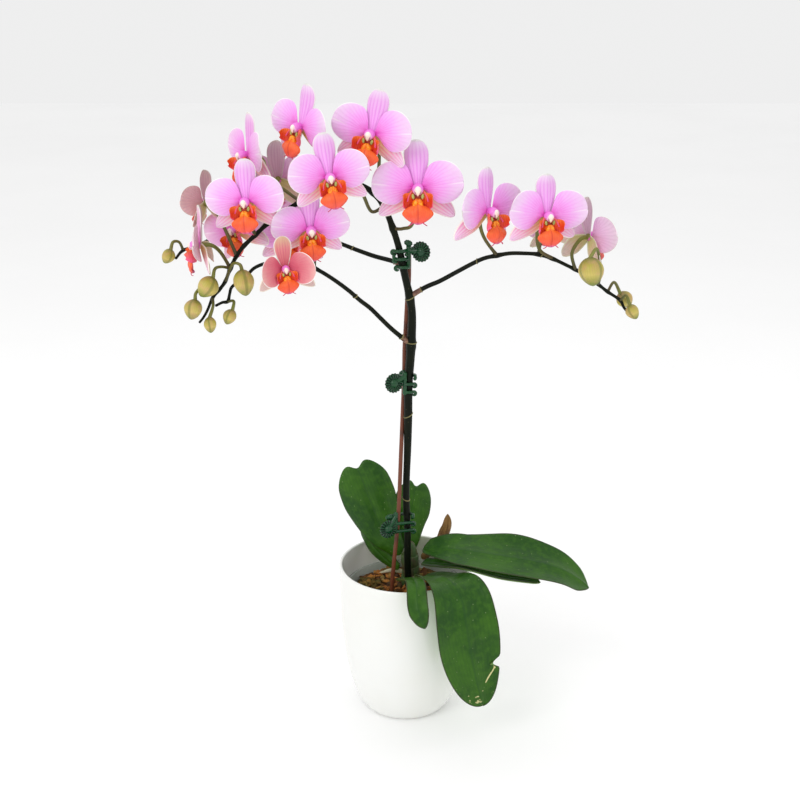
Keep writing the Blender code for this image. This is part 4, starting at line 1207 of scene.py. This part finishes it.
def petal_patch(side, half, thickness, rng, cup, ripe):
    """A broad petal on a narrow claw. Its outline is an ellipse along its axis, wider above than below, drawn
    in at the claw by one minus a falling exponential. It leans forward, and its margin waves a little."""
    length = 0.94 * half * rng.uniform(0.97, 1.03)
    tilt = math.radians(8 - 34 * cup + rng.normal(0, 2))
    lean = math.radians(7 + 66 * cup + rng.normal(0, 2))
    phase = rng.uniform(0, 2 * math.pi, 3)
    axis = np.array([math.cos(tilt), math.sin(tilt), 0.0])
    up = np.array([-math.sin(tilt), math.cos(tilt), 0.0])

    def outline(t, s):
        ellipse = np.sqrt(np.clip(1 - (2 * t - 1) ** 2, 0, 1))
        claw = 0.05 * np.exp(-(t / 0.1) ** 2) * np.minimum(t * 20, 1)
        above = 0.55 * ellipse ** 0.8 * (1 - np.exp(-(t / 0.11) ** 1.5)) + claw
        below = 0.46 * ellipse * (1 - np.exp(-(t / 0.19) ** 1.7)) + claw
        return length * np.where(s > 0, above, below)

    def flat(t, s):
        share = s * side
        return length * t + 0 * s, share * outline(t, share)

    def place(t, s):
        along, across = flat(t, s)
        share = s * side
        wave = np.sin(t * 7 + phase[0] + share) + 0.6 * np.sin(share * 5 + phase[1])
        height = (along * math.sin(lean) - 0.10 * half * share ** 2 * np.sin(math.pi * t) * (1 - 1.6 * cup)
                  - 0.05 * half * t ** 2 + 0.5 * cup * half * t ** 2
                  + 0.024 * half * np.abs(share) * wave * t
                  - 0.015 * half * np.exp(-(share / 0.10) ** 2) * (1 - t))
        base = np.array([0.07 * half, 0.03 * half, 0.03 * half])
        points = base + axis * (along * math.cos(lean))[..., None] + up * across[..., None]
        points = points + np.array([0, 0, 1.0]) * height[..., None]
        points[..., 0] *= side
        return points

    def uv(t, s):
        along, across = flat(t, s)
        fan = 0.5 + np.arctan2(across, along + 0.06 * length) / math.pi
        return np.stack([fan, np.hypot(along, across) / length], axis=-1)

    def margin(t, s):
        return (1 - np.abs(s)) * outline(t, s * side) + (1 - t) * 0.06 * length * (1 - t)

    return blade(place, 40, 34, thickness, petal_finish, uv=uv, margin=margin, ripe=ripe)


def sepal_patch(angle, length, half_width, widest, lean, thickness, rng, cup, ripe, make_finish, half,
                hook=0.0, point=2.1):
    """A sepal that grows at an angle round the flower's axis: an obovate outline that swells as a sine to its
    widest place and closes as a superellipse, its midrib slightly raised, its margins rolled back."""
    turn = np.array(Matrix.Rotation(math.radians(angle + rng.normal(0, 1.5)), 3, "Z"))
    tilt = math.radians(lean + rng.normal(0, 2))
    length = length * rng.uniform(0.97, 1.03)
    phase = rng.uniform(0, 2 * math.pi, 2)

    def width(t):
        rising = 0.42 + 0.58 * np.sin(math.pi / 2 * np.minimum(t / widest, 1)) ** 1.4
        closing = np.sqrt(np.clip(1 - (np.maximum(t - widest, 0) / (1 - widest)) ** point, 0, 1))
        return half_width * np.where(t < widest, rising, closing) * np.clip(t * 12, 0, 1) ** 0.5

    def place(t, s):
        wide = width(t)
        reach = length * t
        sweep = hook * length * t ** 2.5
        height = (reach * math.sin(tilt) - 0.10 * half * s ** 2 * (wide / half_width) * (1 - 2 * cup)
                  + 0.45 * cup * half * t ** 2 - 0.03 * half * t ** 2
                  + 0.012 * half * np.sin(t * 6 + phase[0]) * np.abs(s)
                  + 0.010 * half * np.exp(-(s / 0.15) ** 2))
        flat = grid(reach * math.cos(tilt), s * wide + sweep, height)
        return flat @ turn.T

    def margin(t, s):
        return (1 - np.abs(s)) * width(t)

    return blade(place, 32, 22, thickness, make_finish, margin=margin, ripe=ripe)


def column_patches(half):
    """The column: a short arched tube flared into a hood, its rounded anther cap with a small beak, and the
    hub behind, where petals, sepals and stalk meet."""
    spine = np.array([(0, -0.02, -0.04), (0, 0.01, 0.06), (0, 0.01, 0.15), (0, -0.03, 0.235)])
    path = smooth(spine * half, 6)
    share = np.linspace(0, 1, len(path))
    radius = half * (0.092 + 0.03 * np.sin(math.pi * share ** 1.6))
    body = tube(path, radius, 26, column_finish, spin=(0, 1, 0))

    def beaked(points):
        x, y, z = points.T
        drop = np.clip(-y, 0, 1)
        return np.stack([x * (1 - 0.45 * drop ** 2), y - 0.55 * drop ** 3, z * (1 - 0.3 * drop)], axis=1)

    cap = ball((0.072 * half, 0.085 * half, 0.065 * half), cap_finish, 16, 22, beaked)
    cap.uv[:, 1] = np.clip(0.35 - cap.points[:, 1] / (0.30 * half), 0, 1)
    cap.moved((0, 0.005 * half, 0.255 * half))
    hub = ball((HUB, HUB, HUB * 1.2), pedicel_finish, 12, 18)
    hub.uv[:, 1] = 1.0
    hub.moved((0, 0, -0.3 * MM))
    return [body, cap, hub]


def lip_patches(half, thickness, rng):
    """The lip: an anchor-shaped middle lobe that comes forward and down, two raised side lobes like cupped
    hands, a two-ridged callus, two olive pads, and two curled threads at the tip."""
    swing = rng.normal(0, 0.012) * half         # sideways, at the tip

    def middle(t, s):
        opening = np.sqrt(np.clip(1 - ((0.40 - t) / 0.27) ** 2, 0, 1))
        closing = np.clip(1 - (np.maximum(t - 0.40, 0) / 0.60) ** 1.9, 0, 1) ** 0.85
        outline = 0.07 + 0.265 * np.where(t < 0.40, opening, closing)
        outline = outline * np.clip(1 - t ** 14, 0, 1) ** 0.5 * half
        y = (-0.24 - 0.48 * t) * half - 0.06 * half * s ** 2 * np.exp(-((t - 0.33) / 0.25) ** 2)
        z = half * (0.17 + 0.20 * np.sin(math.pi * (0.10 + 0.70 * t)))
        z = z - 0.10 * half * s ** 2 * np.sin(math.pi * np.clip(t * 0.9 + 0.08, 0, 1))
        z = z - 0.014 * half * np.exp(-(s / 0.12) ** 2) + 0.014 * half * np.sin(s * 6 + t * 5)
        return grid(s * outline + swing * t, y, z)

    patches = [blade(middle, 34, 30, thickness * 1.5, lip_finish)]
    for side in (-1, 1):
        def lobe(t, s, side=side):
            reach = (1 + s * side) / 2
            round_off = np.sqrt(1 - 0.85 * (np.maximum(reach - 0.35, 0) / 0.65) ** 2)
            x = half * (0.075 + 0.235 * np.sin(reach * 1.75))
            y = half * (-0.25 + 0.05 * reach + 0.165 * round_off * np.cos(math.pi * t))
            z = half * (0.14 + 0.16 * reach + 0.10 * reach ** 3 + 0.02 * np.sin(t * 7))
            return grid(side * x, y, z)
        patches.append(blade(lobe, 24, 20, thickness * 1.2, side_lobe_finish))
        arm = smooth(np.array([(0.07, -0.02, 0.10), (0.13, -0.05, 0.14), (0.19, -0.12, 0.20),
                               (0.22, -0.22, 0.26)]) * half * (side, 1, 1), 5)
        patches.append(tube(arm, np.linspace(0.05, 0.028, len(arm)) * half, 12, side_lobe_finish, flat=0.6))
        ridge = ball((0.055 * half, 0.105 * half, 0.06 * half), callus_finish, 12, 14)
        lean = np.array(Matrix.Rotation(side * 0.42, 3, "Z"))
        patches.append(ridge.moved((side * 0.052 * half, -0.27 * half, 0.24 * half), lean))
        pad = ball((0.034 * half, 0.060 * half, 0.022 * half), olive_finish, 10, 14)
        tip = np.array(Matrix.Rotation(-side * 0.15, 3, "Z"))
        patches.append(pad.moved((side * 0.10 * half, -0.135 * half, 0.215 * half), tip))
        curl = np.linspace(0, 1, 22)
        reach = 0.11 * half * (1 - 0.55 * curl)
        thread = np.stack([side * (0.03 + 0.20 * curl * np.sin(curl * 2.2)) * half + swing,
                           -0.70 * half + reach * np.sin(curl * 5.0) * 0.5 - 0.02 * half * curl,
                           0.25 * half + reach * (1 - np.cos(curl * 5.0)) * 0.5], axis=1)
        patches.append(tube(thread, np.linspace(0.020, 0.007, len(thread)) * half, 10, tendril_finish))
    throat = ball((0.12 * half, 0.13 * half, 0.06 * half), throat_finish, 12, 18)
    patches.append(throat.moved((0, -0.16 * half, 0.125 * half)))
    foot = ball((0.13 * half, 0.09 * half, 0.10 * half), lip_finish, 12, 18, face=1.0)
    foot.uv[:] = (0.3, 0.1)
    patches.append(foot.moved((0, -0.28 * half, 0.14 * half)))
    return patches


def flower_patches(number, centre, turn, size, ripe, sizes):
    """A whole flower in its place: (tepals and column, lip)."""
    rng = np.random.default_rng(300 + number)
    half = sizes.flower_span / 2 * size
    thin = sizes.petal_thickness
    cup = YOUNG_CUP if number == YOUNG_FLOWER else 0.0
    shared = (thin, rng, cup, ripe)
    bloom = [sepal_patch(90, 1.03 * half, 0.27 * half, 0.68, -2, *shared, dorsal_finish, half)]
    for angle, hook in ((-34, -0.04), (-146, 0.04)):
        bloom.append(sepal_patch(angle, 1.05 * half, 0.25 * half, 0.45, -10, *shared, lateral_finish, half,
                                 hook, 1.35))
    mirrored = bloom[-1]
    mirrored.uv[:, 0] = 1 - mirrored.uv[:, 0]
    bloom += [petal_patch(side, half, *shared) for side in (1, -1)]
    bloom += column_patches(half)
    lip = lip_patches(half, thin, rng)
    for patch in bloom + lip:
        patch.moved(at(centre), facing(*turn))
    return bloom, lip


# ---------------------------------------------------------------- buds

def bud_patch(number, centre, tip, length, width):
    """A bud: an egg, blunt at its base and narrowed to the tip, with three sepals whose seams run as shallow
    grooves between raised ribs."""
    rng = np.random.default_rng(500 + number)
    rows, sides = 30, 42
    lift = np.linspace(0, 1, rows)[:, None]
    turn = full_turn(sides)[None, :]
    body = np.sin(math.pi * lift ** 0.92) ** 0.58 * (1 - 0.14 * lift ** 2)
    seam = 0.5 + 0.5 * np.cos(3 * turn + 0.5 * lift)
    radius = width / 2 * MM * body * 1.05 * (1 + 0.05 * np.cos(3 * turn + math.pi) * np.sin(math.pi * lift)
                                           - 0.045 * seam ** 8)
    hook = 0.06 * width * MM * lift ** 3
    points = grid(radius * np.cos(turn) + hook, radius * np.sin(turn), (lift - 0.5) * length * MM)
    points[0] = points[0].mean(0)
    points[-1] = points[-1].mean(0)
    uv = grid(there_and_back(turn), lift)
    patch = Patch(points, uv, bud_finish, seam=seam ** 6)
    spin = Matrix.Rotation(rng.uniform(0, 2 * math.pi), 3, "Z")
    aim = Vector((0, 0, 1)).rotation_difference(Vector(tip)).to_matrix()
    return patch.moved(at(centre), np.array(aim @ spin))


# ---------------------------------------------------------------- stems

def main_radii(path):
    """Slimmer low down, thickest between the two upper clips, then a taper along the arch to a thin tip."""
    bend = ARCH_POINT / (len(STEMS["main"]) - 1)
    t = np.linspace(0, 1, len(path))
    after = np.maximum(t - bend, 0) / (1 - bend)
    rising = np.interp((path[:, 2] - RIM) / MM, STEM_HEIGHTS, STEM_SHARES)
    return SPIKE_RADIUS * np.where(t < bend, rising, 0.90 - 0.58 * after ** 0.7)


def swollen(path, radius, places, reach, growth):
    """Adds a soft ring to a radius wherever the path passes one of the places."""
    for place in places:
        gap = np.linalg.norm(path - place, axis=1)
        radius = radius * (1 + growth * np.exp(-(gap / reach) ** 2))
    return radius


def bract(path, radius, index, slant):
    """A bract's scar: a thin papery ring laid round the stem at a slant."""
    turn = np.linspace(0, 2 * math.pi, 33)[:, None]
    forward = unit(path[index + 1] - path[index - 1])
    side = unit(np.cross(forward, (0.2, 1.0, 0.1)))
    other = np.cross(forward, side)
    ring = (side * np.cos(turn) + other * np.sin(turn)) * radius[index] * 1.03
    ring = ring + forward * slant * np.cos(turn + 0.6 * np.sign(slant))
    return tube(path[index] + ring, 0.55 * MM, 8, bract_finish)


def sheath(path, radius, start, count):
    """A short dry sheath where a branch leaves the stem."""
    run = slice(start, start + count)
    return tube(path[run], radius[run] * np.linspace(1.16, 1.08, count), 20, sheath_finish)


def stalk(stem, index, mids, ends, sides, swell):
    """A flower's or bud's stalk: from its stem past its middle points to its ends, with a swelling."""
    path = smooth([joint(stem, index)] + [at(mid) for mid in mids] + ends, 10)
    return tube(path, PEDICEL_RADIUS * swell(np.linspace(0, 1, len(path))), sides, pedicel_finish)


def spike_patches():
    """The main stem and its branches with their bracts and sheaths, and a stalk for every flower and bud."""
    main = stem_line("main")
    branch_points = [joint(name, 0) for name in BRANCHES]
    starts = [joint(stem, index) for *_, stem, index, _, _ in FLOWERS]
    starts += [joint(stem, index) for *_, stem, index, _ in BUDS]
    radius = swollen(main, main_radii(main), branch_points, 5 * MM, 0.22)
    radius = swollen(main, radius, starts, 3.5 * MM, 0.25)
    patches = [tube(main, radius, 28, stem_finish)]
    for height, slant in BRACTS:
        index = int(np.argmax(main[:, 2] > RIM + height * MM))
        patches.append(bract(main, radius, index, slant * MM))
    for name in BRANCHES:
        path = stem_line(name)
        share = np.linspace(0, 1, len(path))
        size = BRANCH_RADIUS * (1.12 - 0.50 * share)
        size = swollen(path, size, starts, 3.5 * MM, 0.28)
        patches.append(tube(path, size, 24, stem_finish))
        patches += [sheath(path, size, 2, 5), bract(path, size * 1.06, 6, 0.5 * MM)]
        for share in (0.24, 0.5):
            patches.append(bract(path, size, 2 + int(share * len(path)), 0.8 * MM))
    for _, centre, turn, _, stem, index, mids, _ in FLOWERS:
        back = -(facing(*turn) @ np.array([0, 0, 1.0]))
        end = at(centre) + back * HUB * 0.4
        ends = [end + back * 9 * MM + np.array([0, 0, -1.5 * MM]), end]
        patches.append(stalk(stem, index, mids, ends, 20, lambda share: (
            0.86 + 0.30 * share ** 2 + 0.25 * np.exp(-(share / 0.06) ** 2))))
    for _, centre, tip, length, _, stem, index, mids in BUDS:
        end = at(centre) - unit(np.array(tip, float)) * (length / 2 - 1.2) * MM
        patches.append(stalk(stem, index, mids, [end], 18, lambda share: (
            0.72 + 0.28 * share ** 3 + 0.2 * np.exp(-(share / 0.08) ** 2))))
    return patches


def height_point(path, height):
    """The point where the rising part of a path first reaches a height."""
    index = int(np.argmax(path[:, 2] >= height))
    low, high = path[max(index - 1, 0)], path[index]
    share = (height - low[2]) / max(high[2] - low[2], 1e-9)
    return low + (high - low) * np.clip(share, 0, 1)


def stake_line():
    """The stake's centre: beside the stem low down, behind it where the two cross."""
    low = np.array([-14.5 * MM, -13 * MM, RIM - MEDIUM_DROP - 70 * MM])
    return smooth([low] + [at(point) for point in STAKE_POINTS], 10)


# ---------------------------------------------------------------- clips

def loop_line(stem, stem_reach, rod, rod_reach, start, count, sweep):
    """The line of a wire bent round two rods: in each direction, the outermost point of either circle."""
    angle = start + np.linspace(0, sweep, count)
    out = np.stack([np.cos(angle), np.sin(angle), np.zeros(count)], axis=1)
    first, second = stem + out * stem_reach, rod + out * rod_reach
    further = (first * out).sum(1) > (second * out).sum(1)
    return np.where(further[:, None], first, second)


def daisy_patch(head, size, yaw):
    """The daisy head: a disc whose rim and face wave in ribs, with a domed boss in its middle."""
    sides, ribs = 216, 18
    turn = full_turn(sides)[None, :]
    valley = (0.5 - 0.5 * np.cos(ribs * turn)) ** 1.3
    profile = np.array([(0, -1.2), (5.0, -1.2), (7.6, -1.2), (8.3, -0.8), (8.6, 0), (8.4, 0.9), (7.8, 1.4),
                        (6.6, 1.7), (5.4, 1.6), (4.4, 1.2), (3.8, 1.0), (3.5, 1.3), (3.0, 2.1), (1.8, 2.9),
                        (0.8, 3.1), (0, 3.15)]) * MM * size
    radius, depth = profile[:, :1], profile[:, 1:]
    rib = np.clip((radius / size - 3.5 * MM) / (0.9 * MM), 0, 1)
    groove = rib * valley
    radius = radius * (1 - 0.07 * groove)
    depth = depth - 1.0 * MM * groove * (depth > 0)
    points = grid(radius * np.cos(turn), radius * np.sin(turn), depth)
    # The groove mark also carries the painted shade that the clip's finish lays in these grooves.
    disc = Patch(points, np.zeros((*points.shape[:2], 2)), clip_finish, groove=groove)
    return disc.moved(head, facing(yaw, 4, 0))


def clip_patches(heights, head_height, offset, size, tab, rise, main, stake):
    """A plant clip: loops round stem and stake with curled claws, a spine, a thumb tab and the head."""
    stem = height_point(main, RIM + head_height * MM)
    head = stem + np.array([offset[0] * MM, offset[1] * MM, 0])
    towards = unit(np.array([offset[0], offset[1], 0.0]))
    side = 1 if offset[0] > 0 else -1
    bearing = math.atan2(towards[1], towards[0])
    start = bearing - side * 0.3
    front = -math.pi / 2 - side * 1.13 - start
    behind = front + side * 2 * math.pi
    patches, spine = [], []
    back_arm = sum(heights[:2]) / 2 if len(heights) > 2 else 2 * heights[0] - heights[1]
    for height, sweep in [(height, front) for height in heights] + [(back_arm, behind)]:
        level = RIM + height * MM
        core, rod = height_point(main, level), height_point(stake, level)
        reach, rod_reach = 1.2 * SPIKE_RADIUS + CLIP_GAP + CLIP_WIRE, STAKE_RADIUS + CLIP_GAP + CLIP_WIRE
        line = loop_line(core, reach, rod, rod_reach, start, 60, sweep)
        line[:, 2] = level + rise * (core[1] - line[:, 1])
        out = unit((line[-1] - core) * (1, 1, 0))
        ahead = unit(unit(line[-1] - line[-3]) + out)
        bend = np.linspace(0, 3.9, 14)[1:, None]
        claw = line[-1] + (ahead * np.sin(bend) - np.array([0, 0, 1.0]) * (1 - np.cos(bend))) * 1.7 * MM
        path = np.vstack([line, claw])
        wire = CLIP_WIRE * np.concatenate([np.full(len(path) - 8, 1.15), np.linspace(1.15, 0.75, 8)])
        patches.append(tube(path, wire, 14, clip_finish))
        spine.append(line[0])
    spine = np.array(sorted(spine, key=lambda point: point[2]))
    spine[:, :2] = spine[:, :2].mean(0)
    spine = np.vstack([spine[0] - [0, 0, 1.5 * MM], spine, spine[-1] + [0, 0, 3 * MM]])
    patches.append(tube(smooth(spine, 6), CLIP_WIRE * 1.5, 16, clip_finish))
    stub = np.array([spine[-2], (spine[-2] + head) / 2, head + [0, 1.0 * MM, 0]])
    patches.append(tube(smooth(stub, 6), CLIP_WIRE * 1.7, 16, clip_finish))
    thumb = head + np.array(tab) * MM
    arm = np.array([spine[-2], (spine[-2] + thumb) / 2 + [0, 1.5 * MM, 0], thumb])
    patches.append(tube(smooth(arm, 6), CLIP_WIRE * 1.5, 16, clip_finish))
    plate = ball((4.2 * MM, 2.0 * MM, 2.8 * MM), clip_finish, 16, 28,
                 lambda points: points * (1 - 0.07 * np.cos(points[:, :1] * 14)))
    patches.append(plate.moved(thumb, np.array(Matrix.Rotation(0.35 * side, 3, "Y"))))
    return patches + [daisy_patch(head, size, -28 * side)]


# ---------------------------------------------------------------- operators

class ORCHID_OT_pots(bpy.types.Operator):
    """Make the glazed outer pot and the clear nursery pot inside it"""
    bl_idname = "orchid.make_pots"
    bl_label = "Pots"

    def execute(self, context):
        make_piece("glazed_pot", [pot_patch()], ["pot"])
        make_piece("clear_liner", [liner_patch()], ["nursery_pot"])
        return {"FINISHED"}


class ORCHID_OT_bark(bpy.types.Operator):
    """Make the bark bed with its loose chips, fibres and roots"""
    bl_idname = "orchid.make_bark"
    bl_label = "Bark and roots"

    def execute(self, context):
        size = context.scene.orchid_sizes.chip_size
        patches = [bark_lump(), bark_chips(size)] + fibres_and_roots()
        make_piece("bark_bed", patches, ["growing_medium"])
        return {"FINISHED"}


class ORCHID_OT_leaves(bpy.types.Operator):
    """Make the crown, the seven green leaves and the withered one"""
    bl_idname = "orchid.make_leaves"
    bl_label = "Crown and leaves"

    def execute(self, context):
        make_piece("crown_sheaths", crown_patches(), ["crown"])
        thickness = context.scene.orchid_sizes.leaf_thickness
        for name, *shape in LEAVES:
            dry = name == DRY_LEAF
            patch = leaf_patch(name, *shape, thickness * (0.5 if dry else 1.0))
            make_piece(name + "_blade", [patch], [name])
        return {"FINISHED"}


class ORCHID_OT_stems(bpy.types.Operator):
    """Make the main stem with its branches, bracts and flower stalks"""
    bl_idname = "orchid.make_stems"
    bl_label = "Stems"

    def execute(self, context):
        make_piece("spike_stems", spike_patches(), ["spike"])
        return {"FINISHED"}


class ORCHID_OT_support(bpy.types.Operator):
    """Make the bamboo stake and the three daisy clips"""
    bl_idname = "orchid.make_support"
    bl_label = "Stake and clips"

    def execute(self, context):
        line = stake_line()
        make_piece("bamboo_stake", [tube(line, STAKE_RADIUS, 22, stake_finish)], ["stake"])
        for name, *shape in CLIPS:
            patches = clip_patches(*shape, stem_line("main"), line)
            make_piece(name + "_daisy", patches, [name])
        return {"FINISHED"}


class ORCHID_OT_buds(bpy.types.Operator):
    """Make the nine closed buds"""
    bl_idname = "orchid.make_buds"
    bl_label = "Buds"

    def execute(self, context):
        for number, *shape in BUDS:
            bud = f"bud_{number:02d}"
            make_piece(bud + "_shell", [bud_patch(number, *shape[:4])], [bud])
        return {"FINISHED"}


class ORCHID_OT_flowers(bpy.types.Operator):
    """Make the seventeen flowers, each with its lip"""
    bl_idname = "orchid.make_flowers"
    bl_label = "Flowers"

    def execute(self, context):
        for number, centre, turn, size, _, _, _, ripe in FLOWERS:
            bloom, lip = flower_patches(number, centre, turn, size, ripe, context.scene.orchid_sizes)
            make_piece(f"flower_{number:02d}_bloom", bloom, [f"flower_{number:02d}"])
            make_piece(f"lip_{number:02d}_lobes", lip, [f"lip_{number:02d}"])
        return {"FINISHED"}


def soft_light(name, place, aim, size, power):
    """A square soft box at a place, turned towards a point."""
    lamp = bpy.data.lights.new(name, "AREA")
    lamp.size = size
    lamp.energy = power
    holder = bpy.data.objects.new(name, lamp)
    holder.location = place
    holder.rotation_euler = (Vector(aim) - Vector(place)).to_track_quat("-Z", "Y").to_euler()
    bpy.context.scene.collection.objects.link(holder)


class ORCHID_OT_stage(bpy.types.Operator):
    """Make the floor, the soft lights, the pale surroundings and the camera"""
    bl_idname = "orchid.make_stage"
    bl_label = "Stage"

    def execute(self, context):
        scene = context.scene
        mesh = bpy.data.meshes.new("floor")
        corners = [(x * FLOOR_REACH, y * FLOOR_REACH, 0) for x, y in ((-1, -1), (1, -1), (1, 1), (-1, 1))]
        mesh.from_pydata(corners, [], [(0, 1, 2, 3)])
        mesh.materials.append(floor_finish())
        floor = bpy.data.objects.new("floor", mesh)
        scene.collection.objects.link(floor)
        for light in LIGHTS:
            soft_light(*light)
        world = bpy.data.worlds.new("studio")
        world.use_nodes = True
        air = world.node_tree.nodes["Background"].inputs
        air["Color"].default_value = (1, 1, 1, 1)
        air["Strength"].default_value = AIR_STRENGTH
        scene.world = world
        camera = bpy.data.cameras.new("camera")
        camera.lens, camera.sensor_width = LENS, SENSOR
        view = bpy.data.objects.new("camera", camera)
        view.location = CAMERA_PLACE
        view.rotation_euler = (math.radians(90 - CAMERA_PITCH), 0, 0)
        scene.collection.objects.link(view)
        scene.camera = view
        scene.view_settings.view_transform = "Standard"
        return {"FINISHED"}


class ORCHID_PT_panel(bpy.types.Panel):
    """Lists the makers of the orchid's pieces"""
    bl_idname = "ORCHID_PT_panel"
    bl_label = "Potted moth orchid"
    bl_space_type = "VIEW_3D"
    bl_region_type = "UI"
    bl_category = "Orchid"

    def draw(self, context):
        for group in (context.scene.orchid_sizes, context.scene.orchid_colours):
            for key in group.__annotations__:
                self.layout.prop(group, key)
        for maker in MAKERS:
            self.layout.operator(maker.bl_idname)


MAKERS = (ORCHID_OT_pots, ORCHID_OT_bark, ORCHID_OT_leaves, ORCHID_OT_stems, ORCHID_OT_support,
          ORCHID_OT_buds, ORCHID_OT_flowers, ORCHID_OT_stage)
CLASSES = (OrchidSizes, OrchidColours) + MAKERS + (ORCHID_PT_panel,)


def register():
    for entry in CLASSES:
        bpy.utils.register_class(entry)
    bpy.types.Scene.orchid_sizes = bpy.props.PointerProperty(type=OrchidSizes)
    bpy.types.Scene.orchid_colours = bpy.props.PointerProperty(type=OrchidColours)


def unregister():
    del bpy.types.Scene.orchid_colours
    del bpy.types.Scene.orchid_sizes
    for entry in reversed(CLASSES):
        bpy.utils.unregister_class(entry)


def main():
    register()
    bpy.ops.orchid.make_pots()
    bpy.ops.orchid.make_bark()
    bpy.ops.orchid.make_leaves()
    bpy.ops.orchid.make_stems()
    bpy.ops.orchid.make_support()
    bpy.ops.orchid.make_buds()
    bpy.ops.orchid.make_flowers()
    bpy.ops.orchid.make_stage()
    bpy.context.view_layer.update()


if __name__ == "__main__":
    main()
